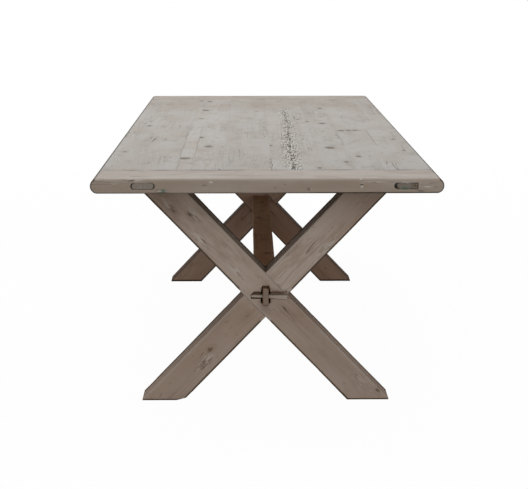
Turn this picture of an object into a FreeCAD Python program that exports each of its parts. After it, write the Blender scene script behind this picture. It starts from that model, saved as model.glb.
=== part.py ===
import FreeCAD, Part

# Sawbuck table: a plank top with breadboard ends on two crossed trestles, which one keyed
# stretcher ties together. Millimetres, +Z up. X runs across the table and Y along it, with the
# front end at -Y. The origin is on the floor under the middle of the table.

import math
import os
import re

import Sketcher

SIZES = {
    # the whole table
    "table_length": 2500,
    "table_width": 1010,
    "table_height": 780,
    # the top: planks between two breadboard ends
    "top_thickness": 43,
    "end_board_width": 170,
    "side_radius": 21,
    "bullnose_flat": 0.5,
    "rim_radius": 6,
    "plank_1_width": 234,
    "plank_2_width": 139,
    "plank_3_width": 150,
    "plank_4_width": 153,
    "plank_5_width": 97,
    # the planks' tongues and the groove that they run in
    "tongue_thickness": 18,
    "tongue_length": 24,
    "tongue_inset": 40,
    "groove_end_gap": 2,
    "groove_side_gap": 0.3,
    # the two through tenons of each end and their round-ended slots, whose insets run from the
    # table's long edges to the middle of each slot
    "slot_width": 69,
    "slot_height": 19,
    "left_slot_inset": 150,
    "right_slot_inset": 109,
    "left_tenon_width": 62,
    "right_tenon_width": 41,
    "right_tenon_gap": 9,
    "tenon_recess": 1,
    "wedge_width": 17,
    "wedge_tip_width": 13,
    "wedge_length": 60,
    "wedge_height": 16,
    # the two repairs let into the top
    "patch_depth": 12,
    "patch_gap": 0.3,
    "patch_strip_width": 46,
    "patch_strip_start": -812,
    "patch_strip_end": -12,
    "patch_board_width": 113,
    "patch_board_start": -529,
    "patch_board_end": -81,
    # the crossed beams, whose insets run from the table's long edges to the middle of the beam
    "trestle_setback": 370,
    "beam_width": 100,
    "beam_depth": 98,
    "head_inset": 173.5,
    "foot_inset": 173.5,
    "toe_cut": 3,
    # the cleats and the batten under the top
    "cleat_overhang": 50,
    "cleat_thickness": 40,
    "cleat_end_cut": 15,
    "batten_width": 70,
    # the stretcher and the mortise that it passes through
    "stretcher_width": 72,
    "stretcher_height": 75,
    "tusk_width": 19,
    "tusk_height": 56,
    "tusk_projection": 28,
    "tusk_end_chamfer": 3,
    "mortise_side_gap": 6,
    "mortise_top_gap": 1.5,
    "mortise_neck_gap": 2.3,
    "mortise_neck_height": 22,
    # the tapered key through each tusk and the shallow housing behind it
    "key_thin_reach": 46,
    "key_thick_reach": 69,
    "key_thin_depth": 16,
    "key_thick_depth": 20,
    "key_thin_drop": 6,
    "key_thick_drop": 13,
    "key_rise": 0.5,
    "key_gap": 0.3,
    "key_draw": 3,
    "housing_depth": 12,
    "housing_rise": 11,
    "housing_end_gap": 1,
    "housing_end_cut": 9,
    # fasteners
    "screw_diameter": 5,
    "screw_head_diameter": 10,
    "screw_head_height": 4,
    "screw_length": 60,
    "screw_bore_diameter": 12,
    "screw_bore_depth": 12,
    "screw_slot_width": 1.2,
    "screw_slot_depth": 1.5,
    "outer_screw_gap": 20,
    "bolt_diameter": 10,
    "bolt_head_across": 17,
    "bolt_head_height": 7,
    "bolt_length": 110,
    "bolt_bore_diameter": 26,
    "bolt_bore_depth": 10,
    "bolt_offset": 30,
    "bolt_spacing": 50,
    "hole_tip": 4,
}

# Heights, and distances along the table, that several pieces share.
TOP_UNDERSIDE = "(table_height - top_thickness)"
LEG_HEAD = "(table_height - top_thickness - cleat_thickness)"
TRESTLE_FACE = "(table_length / 2 - trestle_setback)"
TRESTLE_CENTRE = "(table_length / 2 - trestle_setback - beam_depth / 2)"
PLANK_END = "(table_length / 2 - end_board_width)"
MID_TOP = "(top_thickness / 2)"
# The beams run from foot to head, so their slope and the height where they cross follow from both.
HEAD_REACH = "(table_width / 2 - head_inset)"
FOOT_REACH = "(table_width / 2 - foot_inset)"
SLOPE = f"atan({LEG_HEAD} / ({HEAD_REACH} + {FOOT_REACH}))"
CROSSING = f"({LEG_HEAD} * {FOOT_REACH} / ({HEAD_REACH} + {FOOT_REACH}))"
# Half of a beam's width, measured level across its slope.
LEVEL_HALF = f"(beam_width / 2 / sin({SLOPE}))"
TUSK_BOTTOM = f"({CROSSING} - tusk_height / 2)"
TUSK_TOP = f"({CROSSING} + tusk_height / 2)"
# How far from the middle of the table the slots, the cleats' ends and the fasteners are.
LEFT_SLOT = "(left_slot_inset - table_width / 2)"
RIGHT_SLOT = "(table_width / 2 - right_slot_inset)"
CLEAT_REACH = f"({HEAD_REACH} + {LEVEL_HALF} + cleat_overhang)"
OUTER_SCREW = f"({HEAD_REACH} + {LEVEL_HALF} + outer_screw_gap)"
BOLT_REACH = f"({HEAD_REACH} - bolt_offset)"

# Two places closer than this are taken as one, and a smaller change of volume as none.
SAME = 1

doc = FreeCAD.newDocument("SawbuckTable")


# ---------------------------------------------------------------- the size sheet

def fill_sheet():
    """Every driving size in a cell of its own, under its own name."""
    cells = doc.addObject("Spreadsheet::Sheet", "Sizes")
    for row, (name, value) in enumerate(SIZES.items(), start=1):
        cells.set(f"A{row}", name)
        cells.set(f"B{row}", str(value))
        cells.setAlias(f"B{row}", name)
    doc.recompute()
    return cells


sheet = fill_sheet()
measure = doc.addObject("App::FeaturePython", "Measure")


def cell(word):
    """A size's name as its cell. Any other word, such as sin, stays as it is."""
    return f"Sizes.{word[0]}" if word[0] in SIZES else word[0]


def bound(text):
    """An expression in which each size's name points at its cell."""
    return re.sub(r"[a-z][a-z_0-9]*", cell, str(text))


def number(text):
    """The value of an expression, in millimetres."""
    return float(measure.evalExpression(bound(text)))


# ---------------------------------------------------------------- sketches and features

def new_body(name, x="0", y="0", z="0", turned=False):
    """An empty body that stands at a place of its own, and may be turned half round."""
    body = doc.addObject("PartDesign::Body", name)
    body.Label = name
    if turned:
        half_round = FreeCAD.Rotation(FreeCAD.Vector(0, 0, 1), math.degrees(math.pi))
        body.Placement = FreeCAD.Placement(FreeCAD.Vector(0, 0, 0), half_round)
    for axis, place in (("x", x), ("y", y), ("z", z)):
        body.setExpression(f"Placement.Base.{axis}", bound(place))
    return body


def new_sketch(body, plane, name, offset="0"):
    """An empty sketch on one of the body's own planes, or a distance in front of it."""
    sketch = body.newObject("Sketcher::SketchObject", name)
    support = next(item for item in body.Origin.OriginFeatures if item.Role == plane)
    sketch.AttachmentSupport = (support, [""])
    sketch.MapMode = "FlatFace"
    sketch.setExpression("AttachmentOffset.Base.z", bound(offset))
    return sketch


def pin_point(sketch, edge, end, x, y):
    """Dimensions a point of a sketch from the sketch's origin."""
    for kind, place in (("DistanceX", x), ("DistanceY", y)):
        index = sketch.addConstraint(Sketcher.Constraint(kind, -1, 1, edge, end, number(place)))
        sketch.setExpression(f"Constraints[{index}]", bound(place))


def add_outline(sketch, corners):
    """A closed outline with straight sides."""
    first = sketch.GeometryCount
    points = [FreeCAD.Vector(number(x), number(y), 0) for x, y in corners]
    for index, point in enumerate(points):
        sketch.addGeometry(Part.LineSegment(point, points[(index + 1) % len(points)]))
    for index, (x, y) in enumerate(corners):
        following = first + (index + 1) % len(corners)
        sketch.addConstraint(Sketcher.Constraint("Coincident", first + index, 2, following, 1))
        pin_point(sketch, first + index, 1, x, y)


def add_rectangle(sketch, left, right, low, high):
    add_outline(sketch, [(left, low), (right, low), (right, high), (left, high)])


def add_circle(sketch, x, y, diameter):
    middle = FreeCAD.Vector(number(x), number(y), 0)
    edge = sketch.addGeometry(Part.Circle(middle, FreeCAD.Vector(0, 0, 1), number(diameter) / 2))
    pin_point(sketch, edge, 3, x, y)
    index = sketch.addConstraint(Sketcher.Constraint("Diameter", edge, number(diameter)))
    sketch.setExpression(f"Constraints[{index}]", bound(diameter))


def add_round_end(sketch, centre_x, low, high, from_low):
    """Half a circle from the low line to the high one, or back."""
    radius = (number(high) - number(low)) / 2
    middle = FreeCAD.Vector(number(centre_x), (number(high) + number(low)) / 2, 0)
    start = -math.pi / 2 if from_low else math.pi / 2
    circle = Part.Circle(middle, FreeCAD.Vector(0, 0, 1), radius)
    edge = sketch.addGeometry(Part.ArcOfCircle(circle, start, start + math.pi))
    index = sketch.addConstraint(Sketcher.Constraint("DistanceX", -1, 1, edge, 3, number(centre_x)))
    sketch.setExpression(f"Constraints[{index}]", bound(centre_x))
    return edge


def add_bar(sketch, left, right, low, high, square_right=False):
    """A level bar with a round left end, and a right end that is round or square."""
    radius = f"(({high}) - ({low})) / 2"
    line_left = f"{left} + {radius}"
    line_right = right if square_right else f"{right} - {radius}"
    corners = [FreeCAD.Vector(number(x), number(y), 0) for x, y in (
        (line_left, low), (line_right, low), (line_right, high), (line_left, high))]
    bottom = sketch.addGeometry(Part.LineSegment(corners[0], corners[1]))
    if square_right:
        end = sketch.addGeometry(Part.LineSegment(corners[1], corners[2]))
    else:
        end = add_round_end(sketch, line_right, low, high, from_low=True)
    top = sketch.addGeometry(Part.LineSegment(corners[2], corners[3]))
    start = add_round_end(sketch, line_left, low, high, from_low=False)
    pin_point(sketch, bottom, 1, line_left, low)
    pin_point(sketch, bottom, 2, line_right, low)
    pin_point(sketch, top, 1, line_right, high)
    pin_point(sketch, top, 2, line_left, high)
    for one, other in ((bottom, end), (end, top), (top, start), (start, bottom)):
        sketch.addConstraint(Sketcher.Constraint("Coincident", one, 2, other, 1))


def add_feature(kind, body, name, sketch, length, both_ways, backwards):
    """A pad or pocket, checked to add or take away material."""
    doc.recompute()
    before = body.Shape.Volume if body.Tip else 0
    feature = body.newObject(f"PartDesign::{kind}", name)
    feature.Profile = (sketch, [""])
    feature.SideType = "Symmetric" if both_ways else "One side"
    feature.Reversed = backwards
    feature.setExpression("Length", bound(length))
    doc.recompute()
    change = body.Shape.Volume - before
    if (change > 0) != (kind == "Pad") or abs(change) < SAME:
        raise ValueError(f"{body.Label}: {name} changed the volume by {change:.2f}")


def pad(body, name, sketch, length, both_ways=False, backwards=False):
    add_feature("Pad", body, name, sketch, length, both_ways, backwards)


def pocket(body, name, sketch, length, both_ways=False, backwards=False):
    add_feature("Pocket", body, name, sketch, length, both_ways, backwards)


def dress_edges(kind, body, name, dimension, value, chosen):
    """A fillet or chamfer on the edges for which the given test holds."""
    base = body.Tip
    edges = [f"Edge{index}" for index, edge in enumerate(base.Shape.Edges, start=1) if chosen(edge)]
    feature = body.newObject(f"PartDesign::{kind}", name)
    feature.Base = (base, edges)
    feature.setExpression(dimension, bound(value))
    doc.recompute()


# ---------------------------------------------------------------- the top

PLANKS = 6


def plank_left(count):
    """The left edge of a plank: the widths of those before it, from the table's left edge."""
    return " + ".join(["-table_width / 2"] + [f"plank_{index}_width" for index in range(1, count)])


def plank_right(count):
    return "table_width / 2" if count == PLANKS else plank_left(count + 1)


def screw_place(count):
    """Where a plank's screws are, across the table: the outermost ones stand clear of the legs."""
    if count == 1:
        return f"-{OUTER_SCREW}"
    if count == PLANKS:
        return OUTER_SCREW
    return f"(({plank_left(count)}) + ({plank_right(count)})) / 2"


SCREW_ROWS = (f"-{TRESTLE_CENTRE}", "0", TRESTLE_CENTRE)
SCREW_GRIP = "(cleat_thickness - screw_bore_depth)"


def add_tongue(body, count):
    """The stub tongue at both ends, held back from the table's long edges."""
    left = f"{plank_left(count)} + {'tongue_inset' if count == 1 else '0'}"
    right = f"{plank_right(count)} - {'tongue_inset' if count == PLANKS else '0'}"
    sketch = new_sketch(body, "XY_Plane", "TongueSketch", MID_TOP)
    reach = f"({PLANK_END} + tongue_length)"
    add_rectangle(sketch, left, right, f"-{reach}", reach)
    pad(body, "Tongues", sketch, "tongue_thickness", both_ways=True)


TENON_LOW = f"{MID_TOP} - tongue_thickness / 2"
TENON_HIGH = f"{MID_TOP} + tongue_thickness / 2"
RIGHT_TENON_LEFT = f"({RIGHT_SLOT} - slot_width / 2 + right_tenon_gap)"
RIGHT_TENON_RIGHT = f"({RIGHT_TENON_LEFT} + right_tenon_width)"


def add_through_tenon(body, count):
    """The tenon that runs right through both breadboard ends."""
    sketch = new_sketch(body, "XZ_Plane", "TenonSketch")
    if count == 1:
        half = "left_tenon_width / 2"
        add_bar(sketch, f"{LEFT_SLOT} - {half}", f"{LEFT_SLOT} + {half}", TENON_LOW, TENON_HIGH)
    else:
        add_bar(sketch, RIGHT_TENON_LEFT, RIGHT_TENON_RIGHT, TENON_LOW, TENON_HIGH, square_right=True)
    pad(body, "ThroughTenons", sketch, "table_length - 2 * tenon_recess", both_ways=True)


def add_patch_recess(body, left, right, start, end):
    sketch = new_sketch(body, "XY_Plane", "PatchSketch", "top_thickness")
    add_rectangle(sketch, left, right, start, end)
    pocket(body, "PatchRecess", sketch, "patch_depth")


def add_pilot_holes(body, count):
    """One screw hole over each cleat and one over the batten, from below."""
    sketch = new_sketch(body, "XY_Plane", "PilotSketch")
    for row in SCREW_ROWS:
        add_circle(sketch, screw_place(count), row, "screw_diameter")
    depth = f"screw_length - {SCREW_GRIP} + hole_tip"
    pocket(body, "PilotHoles", sketch, depth, backwards=True)


def round_long_side(body):
    """Rounds the table's long edges to a bullnose, on the outermost planks or an end board."""
    outside = number("table_width / 2")

    def long_edge(edge):
        box = edge.BoundBox
        return box.YLength > number(MID_TOP) and abs(abs(box.Center.x) - outside) < SAME

    # Two fillets meet in the middle of the board's thickness, so neither can be larger than that.
    radius = "min(side_radius; top_thickness / 2 - bullnose_flat)"
    dress_edges("Fillet", body, "Bullnose", "Radius", radius, long_edge)


# The left, right, front and rear of each repair.
STRIP = (plank_left(2), f"{plank_left(2)} + patch_strip_width", "patch_strip_start", "patch_strip_end")
BOARD = (plank_left(6), f"{plank_left(6)} + patch_board_width", "patch_board_start", "patch_board_end")


def make_plank(count):
    body = new_body(f"top_plank_{count}", z=TOP_UNDERSIDE)
    sketch = new_sketch(body, "XY_Plane", "PlankSketch")
    add_rectangle(sketch, plank_left(count), plank_right(count), f"-{PLANK_END}", PLANK_END)
    pad(body, "Plank", sketch, "top_thickness")
    if count in (1, PLANKS):
        round_long_side(body)
    add_tongue(body, count)
    if count in (1, PLANKS):
        add_through_tenon(body, count)
    add_pilot_holes(body, count)
    if count == 2:
        add_patch_recess(body, *STRIP)
    if count == PLANKS:
        add_patch_recess(body, *BOARD)
    return body


def make_patch(name, left, right, start, end):
    """A thin board that fills a recess, with a hairline joint all round."""
    body = new_body(name, z="table_height - patch_depth")
    sketch = new_sketch(body, "XY_Plane", "PatchSketch")
    across = (f"{left} + patch_gap", f"{right} - patch_gap")
    along = (f"{start} + patch_gap", f"{end} - patch_gap")
    add_rectangle(sketch, *across, *along)
    pad(body, "Patch", sketch, "patch_depth")
    return body


def make_end_board(name, side):
    """A breadboard end. side is -1 at the front of the table and 1 at the rear."""
    body = new_body(name, z=TOP_UNDERSIDE)
    inner = f"{side} * {PLANK_END}"
    outer = f"{side} * table_length / 2"
    sketch = new_sketch(body, "XY_Plane", "BoardSketch")
    add_rectangle(sketch, "-table_width / 2", "table_width / 2", inner, outer)
    pad(body, "Board", sketch, "top_thickness")

    def outer_rim(edge):
        """The edges all round the outer face."""
        box = edge.BoundBox
        return box.YLength < SAME and abs(box.Center.y - number(outer)) < SAME

    round_long_side(body)
    dress_edges("Fillet", body, "Rim", "Radius", "rim_radius", outer_rim)

    sketch = new_sketch(body, "XY_Plane", "GrooveSketch", MID_TOP)
    floor = f"{side} * ({PLANK_END} + tongue_length + groove_end_gap)"
    reach = "(table_width / 2 - tongue_inset + groove_side_gap)"
    add_rectangle(sketch, f"-{reach}", reach, inner, floor)
    pocket(body, "Groove", sketch, "tongue_thickness + 2 * groove_side_gap", both_ways=True)

    sketch = new_sketch(body, "XZ_Plane", "SlotSketch")
    low = f"{MID_TOP} - slot_height / 2"
    high = f"{MID_TOP} + slot_height / 2"
    for centre, square in ((LEFT_SLOT, False), (RIGHT_SLOT, True)):
        left, right = f"{centre} - slot_width / 2", f"{centre} + slot_width / 2"
        add_bar(sketch, left, right, low, high, square_right=square)
    pocket(body, "Slots", sketch, "table_length", backwards=side < 0)
    return body


def make_tenon_wedge(name, side):
    """The block driven in at the right-hand end of a slot, against the tenon."""
    body = new_body(name, z=TOP_UNDERSIDE)
    sketch = new_sketch(body, "XY_Plane", "WedgeSketch", MID_TOP)
    outer = f"{side} * (table_length / 2 - tenon_recess)"
    inner = f"{side} * (table_length / 2 - tenon_recess - wedge_length)"
    left = RIGHT_TENON_RIGHT
    add_outline(sketch, [
        (left, outer),
        (f"{left} + wedge_width", outer),
        (f"{left} + wedge_tip_width", inner),
        (left, inner),
    ])
    pad(body, "Wedge", sketch, "wedge_height", both_ways=True)
    return body


# ---------------------------------------------------------------- the trestles

# A trestle is drawn with its outer face on the local XZ plane and its depth along local +Y.
# The rear one is the front one turned half round.
ENDS = {
    "front": (f"-{TRESTLE_FACE}", False),
    "rear": (TRESTLE_FACE, True),
}


def trestle_body(name, end):
    place, turned = ENDS[end]
    return new_body(name, y=place, turned=turned)


def beam_edge(foot, height, across):
    """X of a beam at a height. across is -1 on its upper edge, 0 in the middle, 1 on its lower edge."""
    return f"{-foot} * (({height} - {CROSSING}) / tan({SLOPE}) + {across} * {LEVEL_HALF})"


def beam_outline(foot):
    """A beam that stands on its foot at the left (-1) or right (1), with its toe cut off plumb."""
    toe = f"{beam_edge(foot, '0', -1)} - {foot} * toe_cut"
    return [
        (beam_edge(foot, "0", 1), "0"),
        (beam_edge(foot, LEG_HEAD, 1), LEG_HEAD),
        (beam_edge(foot, LEG_HEAD, -1), LEG_HEAD),
        (toe, f"toe_cut * tan({SLOPE})"),
        (toe, "0"),
    ]


def crossing_strip(foot):
    """The stretch of a beam about the crossing, as a rectangle along its slope."""
    corners = []
    for along, across in ((1, 1), (1, -1), (-1, -1), (-1, 1)):
        x = f"beam_width * ({-foot * along} * cos({SLOPE}) + {across} * sin({SLOPE}) / 2)"
        rise = f"beam_width * ({along} * sin({SLOPE}) + {foot * across} * cos({SLOPE}) / 2)"
        corners.append((x, f"{CROSSING} + {rise}"))
    return corners


def add_bolt_holes(sketch, sides, diameter):
    """Two holes side by side along the table, over each of the given leg heads."""
    for side in sides:
        for across in (-1, 1):
            place = f"beam_depth / 2 + {across} * bolt_spacing / 2"
            add_circle(sketch, f"{side} * {BOLT_REACH}", place, diameter)


def make_leg(name, end, foot):
    """A crossing beam. The one with its foot at local +X runs whole across the outer face."""
    body = trestle_body(name, end)
    sketch = new_sketch(body, "XZ_Plane", "BeamSketch")
    add_outline(sketch, beam_outline(foot))
    pad(body, "Beam", sketch, "beam_depth", backwards=True)

    if foot > 0:
        sketch = new_sketch(body, "XZ_Plane", "LapSketch", "-beam_depth")
        add_outline(sketch, crossing_strip(-foot))
        pocket(body, "HalfLap", sketch, "beam_depth / 2", backwards=True)
    else:
        sketch = new_sketch(body, "XZ_Plane", "LapSketch")
        add_outline(sketch, crossing_strip(-foot))
        pocket(body, "HalfLap", sketch, "beam_depth / 2")

    sketch = new_sketch(body, "XZ_Plane", "MortiseSketch")
    side, neck = "(tusk_width / 2 + mortise_side_gap)", "(tusk_width / 2 + mortise_neck_gap)"
    top = f"({TUSK_TOP} + mortise_top_gap)"
    add_outline(sketch, [
        (f"-{side}", TUSK_BOTTOM),
        (side, TUSK_BOTTOM),
        (side, f"{top} - mortise_neck_height"),
        (neck, top),
        (f"-{neck}", top),
        (f"-{side}", f"{top} - mortise_neck_height"),
    ])
    pocket(body, "Mortise", sketch, "beam_depth")

    sketch = new_sketch(body, "XZ_Plane", "HousingSketch")
    low, high = f"{CROSSING} - key_thick_drop", f"{CROSSING} + housing_rise"
    stop = "-(key_thin_reach + housing_end_gap)"
    add_outline(sketch, [
        (stop, low),
        ("beam_width", low),
        ("beam_width", high),
        (f"{stop} + housing_end_cut", high),
        (stop, f"{high} - housing_end_cut"),
    ])
    pocket(body, "KeyHousing", sketch, "housing_depth")

    sketch = new_sketch(body, "XY_Plane", "BoltSketch", LEG_HEAD)
    add_bolt_holes(sketch, (-foot,), "bolt_diameter")
    pocket(body, "BoltHoles", sketch, "bolt_length - (cleat_thickness - bolt_bore_depth) + hole_tip")
    return body


def make_cross_piece(name, y, turned, width):
    """A cleat or batten across the underside of the top, with its lower corners cut off."""
    body = new_body(name, y=y, z=LEG_HEAD, turned=turned)
    sketch = new_sketch(body, "XZ_Plane", "CrossSketch")
    add_outline(sketch, [
        (f"-({CLEAT_REACH} - cleat_end_cut)", "0"),
        (f"{CLEAT_REACH} - cleat_end_cut", "0"),
        (CLEAT_REACH, "cleat_end_cut"),
        (CLEAT_REACH, "cleat_thickness"),
        (f"-{CLEAT_REACH}", "cleat_thickness"),
        (f"-{CLEAT_REACH}", "cleat_end_cut"),
    ])
    pad(body, "Cross", sketch, width, backwards=True)
    mirror = "-1" if turned else "1"
    for feature, diameter, depth in (("ScrewHoles", "screw_diameter", "cleat_thickness"),
                                     ("ScrewBores", "screw_bore_diameter", "screw_bore_depth")):
        sketch = new_sketch(body, "XY_Plane", feature + "Sketch")
        for count in range(1, PLANKS + 1):
            add_circle(sketch, f"{mirror} * ({screw_place(count)})", f"{width} / 2", diameter)
        pocket(body, feature, sketch, depth, backwards=True)
    return body


def make_cleat(name, end):
    """A cross piece over the leg heads, with bored holes for the bolts."""
    place, turned = ENDS[end]
    body = make_cross_piece(name, place, turned, "beam_depth")
    for feature, diameter, depth in (("BoltHoles", "bolt_diameter", "cleat_thickness"),
                                     ("BoltBores", "bolt_bore_diameter", "bolt_bore_depth")):
        sketch = new_sketch(body, "XY_Plane", feature + "Sketch", "cleat_thickness")
        add_bolt_holes(sketch, (-1, 1), diameter)
        pocket(body, feature, sketch, depth)
    return body


# ---------------------------------------------------------------- the stretcher and its keys

def key_front_at(reach):
    """How far a key stands out from the trestle's outer face, a distance to the thick side."""
    slope = "(key_thick_depth - key_thin_depth) / (key_thin_reach + key_thick_reach)"
    return f"key_thin_depth + ({reach} + key_thin_reach) * {slope} - housing_depth"


def make_stretcher():
    body = new_body("stretcher")
    sketch = new_sketch(body, "XZ_Plane", "BarSketch")
    low = f"{CROSSING} - stretcher_height / 2"
    high = f"{CROSSING} + stretcher_height / 2"
    add_rectangle(sketch, "-stretcher_width / 2", "stretcher_width / 2", low, high)
    pad(body, "Bar", sketch, f"2 * ({TRESTLE_FACE} - beam_depth)", both_ways=True)

    sketch = new_sketch(body, "XZ_Plane", "TuskSketch")
    add_rectangle(sketch, "-tusk_width / 2", "tusk_width / 2", TUSK_BOTTOM, TUSK_TOP)
    tip = f"({TRESTLE_FACE} + tusk_projection)"
    pad(body, "Tusks", sketch, f"2 * {tip}", both_ways=True)
    end = number(tip)

    def tusk_rim(edge):
        box = edge.BoundBox
        return box.YLength < SAME and abs(abs(box.Center.y) - end) < SAME

    dress_edges("Chamfer", body, "TuskEnds", "Size", "tusk_end_chamfer", tusk_rim)

    # The hole in each tusk follows the key's taper on its outer side, and its inner side lies
    # behind the housing's floor, so that the key can draw the joint tight.
    sketch = new_sketch(body, "XY_Plane", "KeyHoleSketch", f"{CROSSING} + key_rise + key_gap")
    inner = f"{TRESTLE_FACE} - housing_depth - key_draw"
    for side in (-1, 1):
        outline = []
        for reach in ("-tusk_width", "tusk_width"):
            outer = f"{TRESTLE_FACE} + key_gap + {key_front_at(reach)}"
            outline.append((f"{-side} * {reach}", f"{side} * ({outer})"))
        for reach in ("tusk_width", "-tusk_width"):
            outline.append((f"{-side} * {reach}", f"{side} * ({inner})"))
        add_outline(sketch, outline)
    pocket(body, "KeyHoles", sketch, "key_rise + key_thick_drop + 2 * key_gap")
    return body


def make_key(name, end):
    """A tapered key, thin at local -X and thick at local +X, flat on the housing's floor."""
    body = trestle_body(name, end)
    sketch = new_sketch(body, "XZ_Plane", "KeySketch", "-housing_depth")
    top = f"{CROSSING} + key_rise"
    add_outline(sketch, [
        ("-key_thin_reach", f"{CROSSING} - key_thin_drop"),
        ("key_thick_reach", f"{CROSSING} - key_thick_drop"),
        ("key_thick_reach", top),
        ("-key_thin_reach", top),
    ])
    pad(body, "Key", sketch, "key_thick_depth")

    sketch = new_sketch(body, "XY_Plane", "TaperSketch", top)
    beyond = "-key_thick_depth"
    add_outline(sketch, [
        ("-key_thin_reach", f"-({key_front_at('-key_thin_reach')})"),
        ("key_thick_reach", f"-({key_front_at('key_thick_reach')})"),
        ("key_thick_reach", beyond),
        ("-key_thin_reach", beyond),
    ])
    pocket(body, "Taper", sketch, "key_rise + key_thick_drop")
    return body


# ---------------------------------------------------------------- fasteners

def size(name):
    return float(sheet.get(name))


def plank_screw():
    """A slotted screw that points up, with the seat of its head at the origin."""
    radius = size("screw_diameter") / 2
    tip = size("hole_tip")
    shank = Part.makeCylinder(radius, size("screw_length") - tip)
    point = Part.makeCone(radius, 0, tip, FreeCAD.Vector(0, 0, size("screw_length") - tip))
    head_height = size("screw_head_height")
    across = size("screw_head_diameter")
    head = Part.makeCylinder(across / 2, head_height, FreeCAD.Vector(0, 0, -head_height))
    corner = FreeCAD.Vector(-across / 2, -size("screw_slot_width") / 2, -head_height)
    slot = Part.makeBox(across, size("screw_slot_width"), size("screw_slot_depth"), corner)
    return shank.fuse([point, head]).cut(slot).removeSplitter()


def leg_bolt():
    """A hexagon-headed bolt that points down, with the seat of its head at the origin."""
    radius = size("bolt_diameter") / 2
    tip = size("hole_tip")
    length = size("bolt_length")
    down = FreeCAD.Vector(0, 0, -1)
    shank = Part.makeCylinder(radius, length - tip, FreeCAD.Vector(0, 0, 0), down)
    point = Part.makeCone(radius, 0, tip, FreeCAD.Vector(0, 0, tip - length), down)
    corner = size("bolt_head_across") / 2 / math.cos(math.pi / 6)
    turns = [math.pi / 3 * index for index in range(7)]
    points = [FreeCAD.Vector(corner * math.cos(turn), corner * math.sin(turn), 0) for turn in turns]
    head = Part.Face(Part.makePolygon(points)).extrude(FreeCAD.Vector(0, 0, size("bolt_head_height")))
    return shank.fuse([point, head]).removeSplitter()


def make_fasteners(name, pattern, places):
    """Identical fasteners, one solid at each place."""
    group = doc.addObject("Part::Feature", name)
    group.Label = name
    group.Shape = Part.Compound([pattern.translated(FreeCAD.Vector(*place)) for place in places])
    return group


def make_all_fasteners():
    groups = []
    seat = number(f"{LEG_HEAD} + screw_bore_depth")
    rows = {"front": SCREW_ROWS[0], "middle": SCREW_ROWS[1], "rear": SCREW_ROWS[2]}
    for end, row in rows.items():
        places = [(number(screw_place(count)), number(row), seat) for count in range(1, PLANKS + 1)]
        groups.append(make_fasteners(f"plank_screws_{end}", plank_screw(), places))
    seat = number(f"{TOP_UNDERSIDE} - bolt_bore_depth")
    for end, side in (("front", -1), ("rear", 1)):
        places = []
        for x in (-1, 1):
            for across in (-1, 1):
                y = side * number(TRESTLE_CENTRE) + across * size("bolt_spacing") / 2
                places.append((x * number(BOLT_REACH), y, seat))
        groups.append(make_fasteners(f"leg_bolts_{end}", leg_bolt(), places))
    return groups


# ---------------------------------------------------------------- the assembly

def make_table():
    pieces = [make_plank(count) for count in range(1, PLANKS + 1)]
    pieces.append(make_patch("patch_strip", *STRIP))
    pieces.append(make_patch("patch_board", *BOARD))
    for end, side in (("front", -1), ("rear", 1)):
        pieces.append(make_end_board(f"end_board_{end}", side))
        pieces.append(make_tenon_wedge(f"tenon_wedge_{end}", side))
        # The half turn puts the rear trestle's local left foot on the table's right.
        pieces.append(make_leg(f"leg_{end}_left", end, side))
        pieces.append(make_leg(f"leg_{end}_right", end, -side))
        pieces.append(make_cleat(f"cleat_{end}", end))
        pieces.append(make_key(f"key_{end}", end))
    pieces.append(make_cross_piece("middle_batten", "-batten_width / 2", False, "batten_width"))
    pieces.append(make_stretcher())
    pieces.extend(make_all_fasteners())
    return pieces


def check_and_write(pieces):
    doc.recompute()
    for item in doc.Objects:
        if "Invalid" in item.State or "Error" in item.State:
            raise ValueError(f"{item.Name} failed: {item.State}")
    os.makedirs("parts", exist_ok=True)
    for piece in pieces:
        shape = piece.Shape
        if shape.isNull() or not shape.isValid() or shape.Volume < SAME:
            raise ValueError(f"{piece.Label} has no sound shape")
        if piece.TypeId == "PartDesign::Body" and len(shape.Solids) != 1:
            raise ValueError(f"{piece.Label} is {len(shape.Solids)} solids")
    for piece in pieces:
        piece.Shape.exportStep(f"parts/{piece.Label}.step")
        print(f"{piece.Label}: {len(piece.Shape.Solids)} solid(s), {piece.Shape.Volume / 1e6:.4f} dm3")


check_and_write(make_table())
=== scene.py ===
# %% [markdown]
# # A sawbuck table in old, bleached pine
# A heavy plank top rests on two crossed pairs of beams, and one long stretcher ties the pairs
# together. Everything is wood that has been used for years: its arrises are rubbed round, its top is
# washed pale, and dirt sits in every seam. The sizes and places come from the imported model, so this
# file only adds what the years did to the wood, its colour, and the light.

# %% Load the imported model
import math

import bmesh
import bpy
import numpy as np
from mathutils import Matrix, Vector, noise


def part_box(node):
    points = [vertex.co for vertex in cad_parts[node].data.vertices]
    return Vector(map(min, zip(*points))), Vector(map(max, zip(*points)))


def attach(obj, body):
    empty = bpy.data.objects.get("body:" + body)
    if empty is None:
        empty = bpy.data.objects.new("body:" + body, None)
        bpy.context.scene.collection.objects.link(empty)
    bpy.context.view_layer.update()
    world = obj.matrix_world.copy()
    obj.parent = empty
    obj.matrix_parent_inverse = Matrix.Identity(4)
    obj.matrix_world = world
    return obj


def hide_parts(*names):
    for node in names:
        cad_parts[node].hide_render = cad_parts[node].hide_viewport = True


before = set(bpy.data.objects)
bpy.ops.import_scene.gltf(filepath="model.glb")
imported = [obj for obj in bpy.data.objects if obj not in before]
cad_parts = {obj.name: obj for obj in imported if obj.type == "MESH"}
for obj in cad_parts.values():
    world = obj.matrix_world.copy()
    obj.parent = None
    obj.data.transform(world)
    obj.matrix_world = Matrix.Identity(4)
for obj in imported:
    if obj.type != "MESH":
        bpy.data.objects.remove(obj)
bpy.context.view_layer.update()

MM = 0.001

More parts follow.
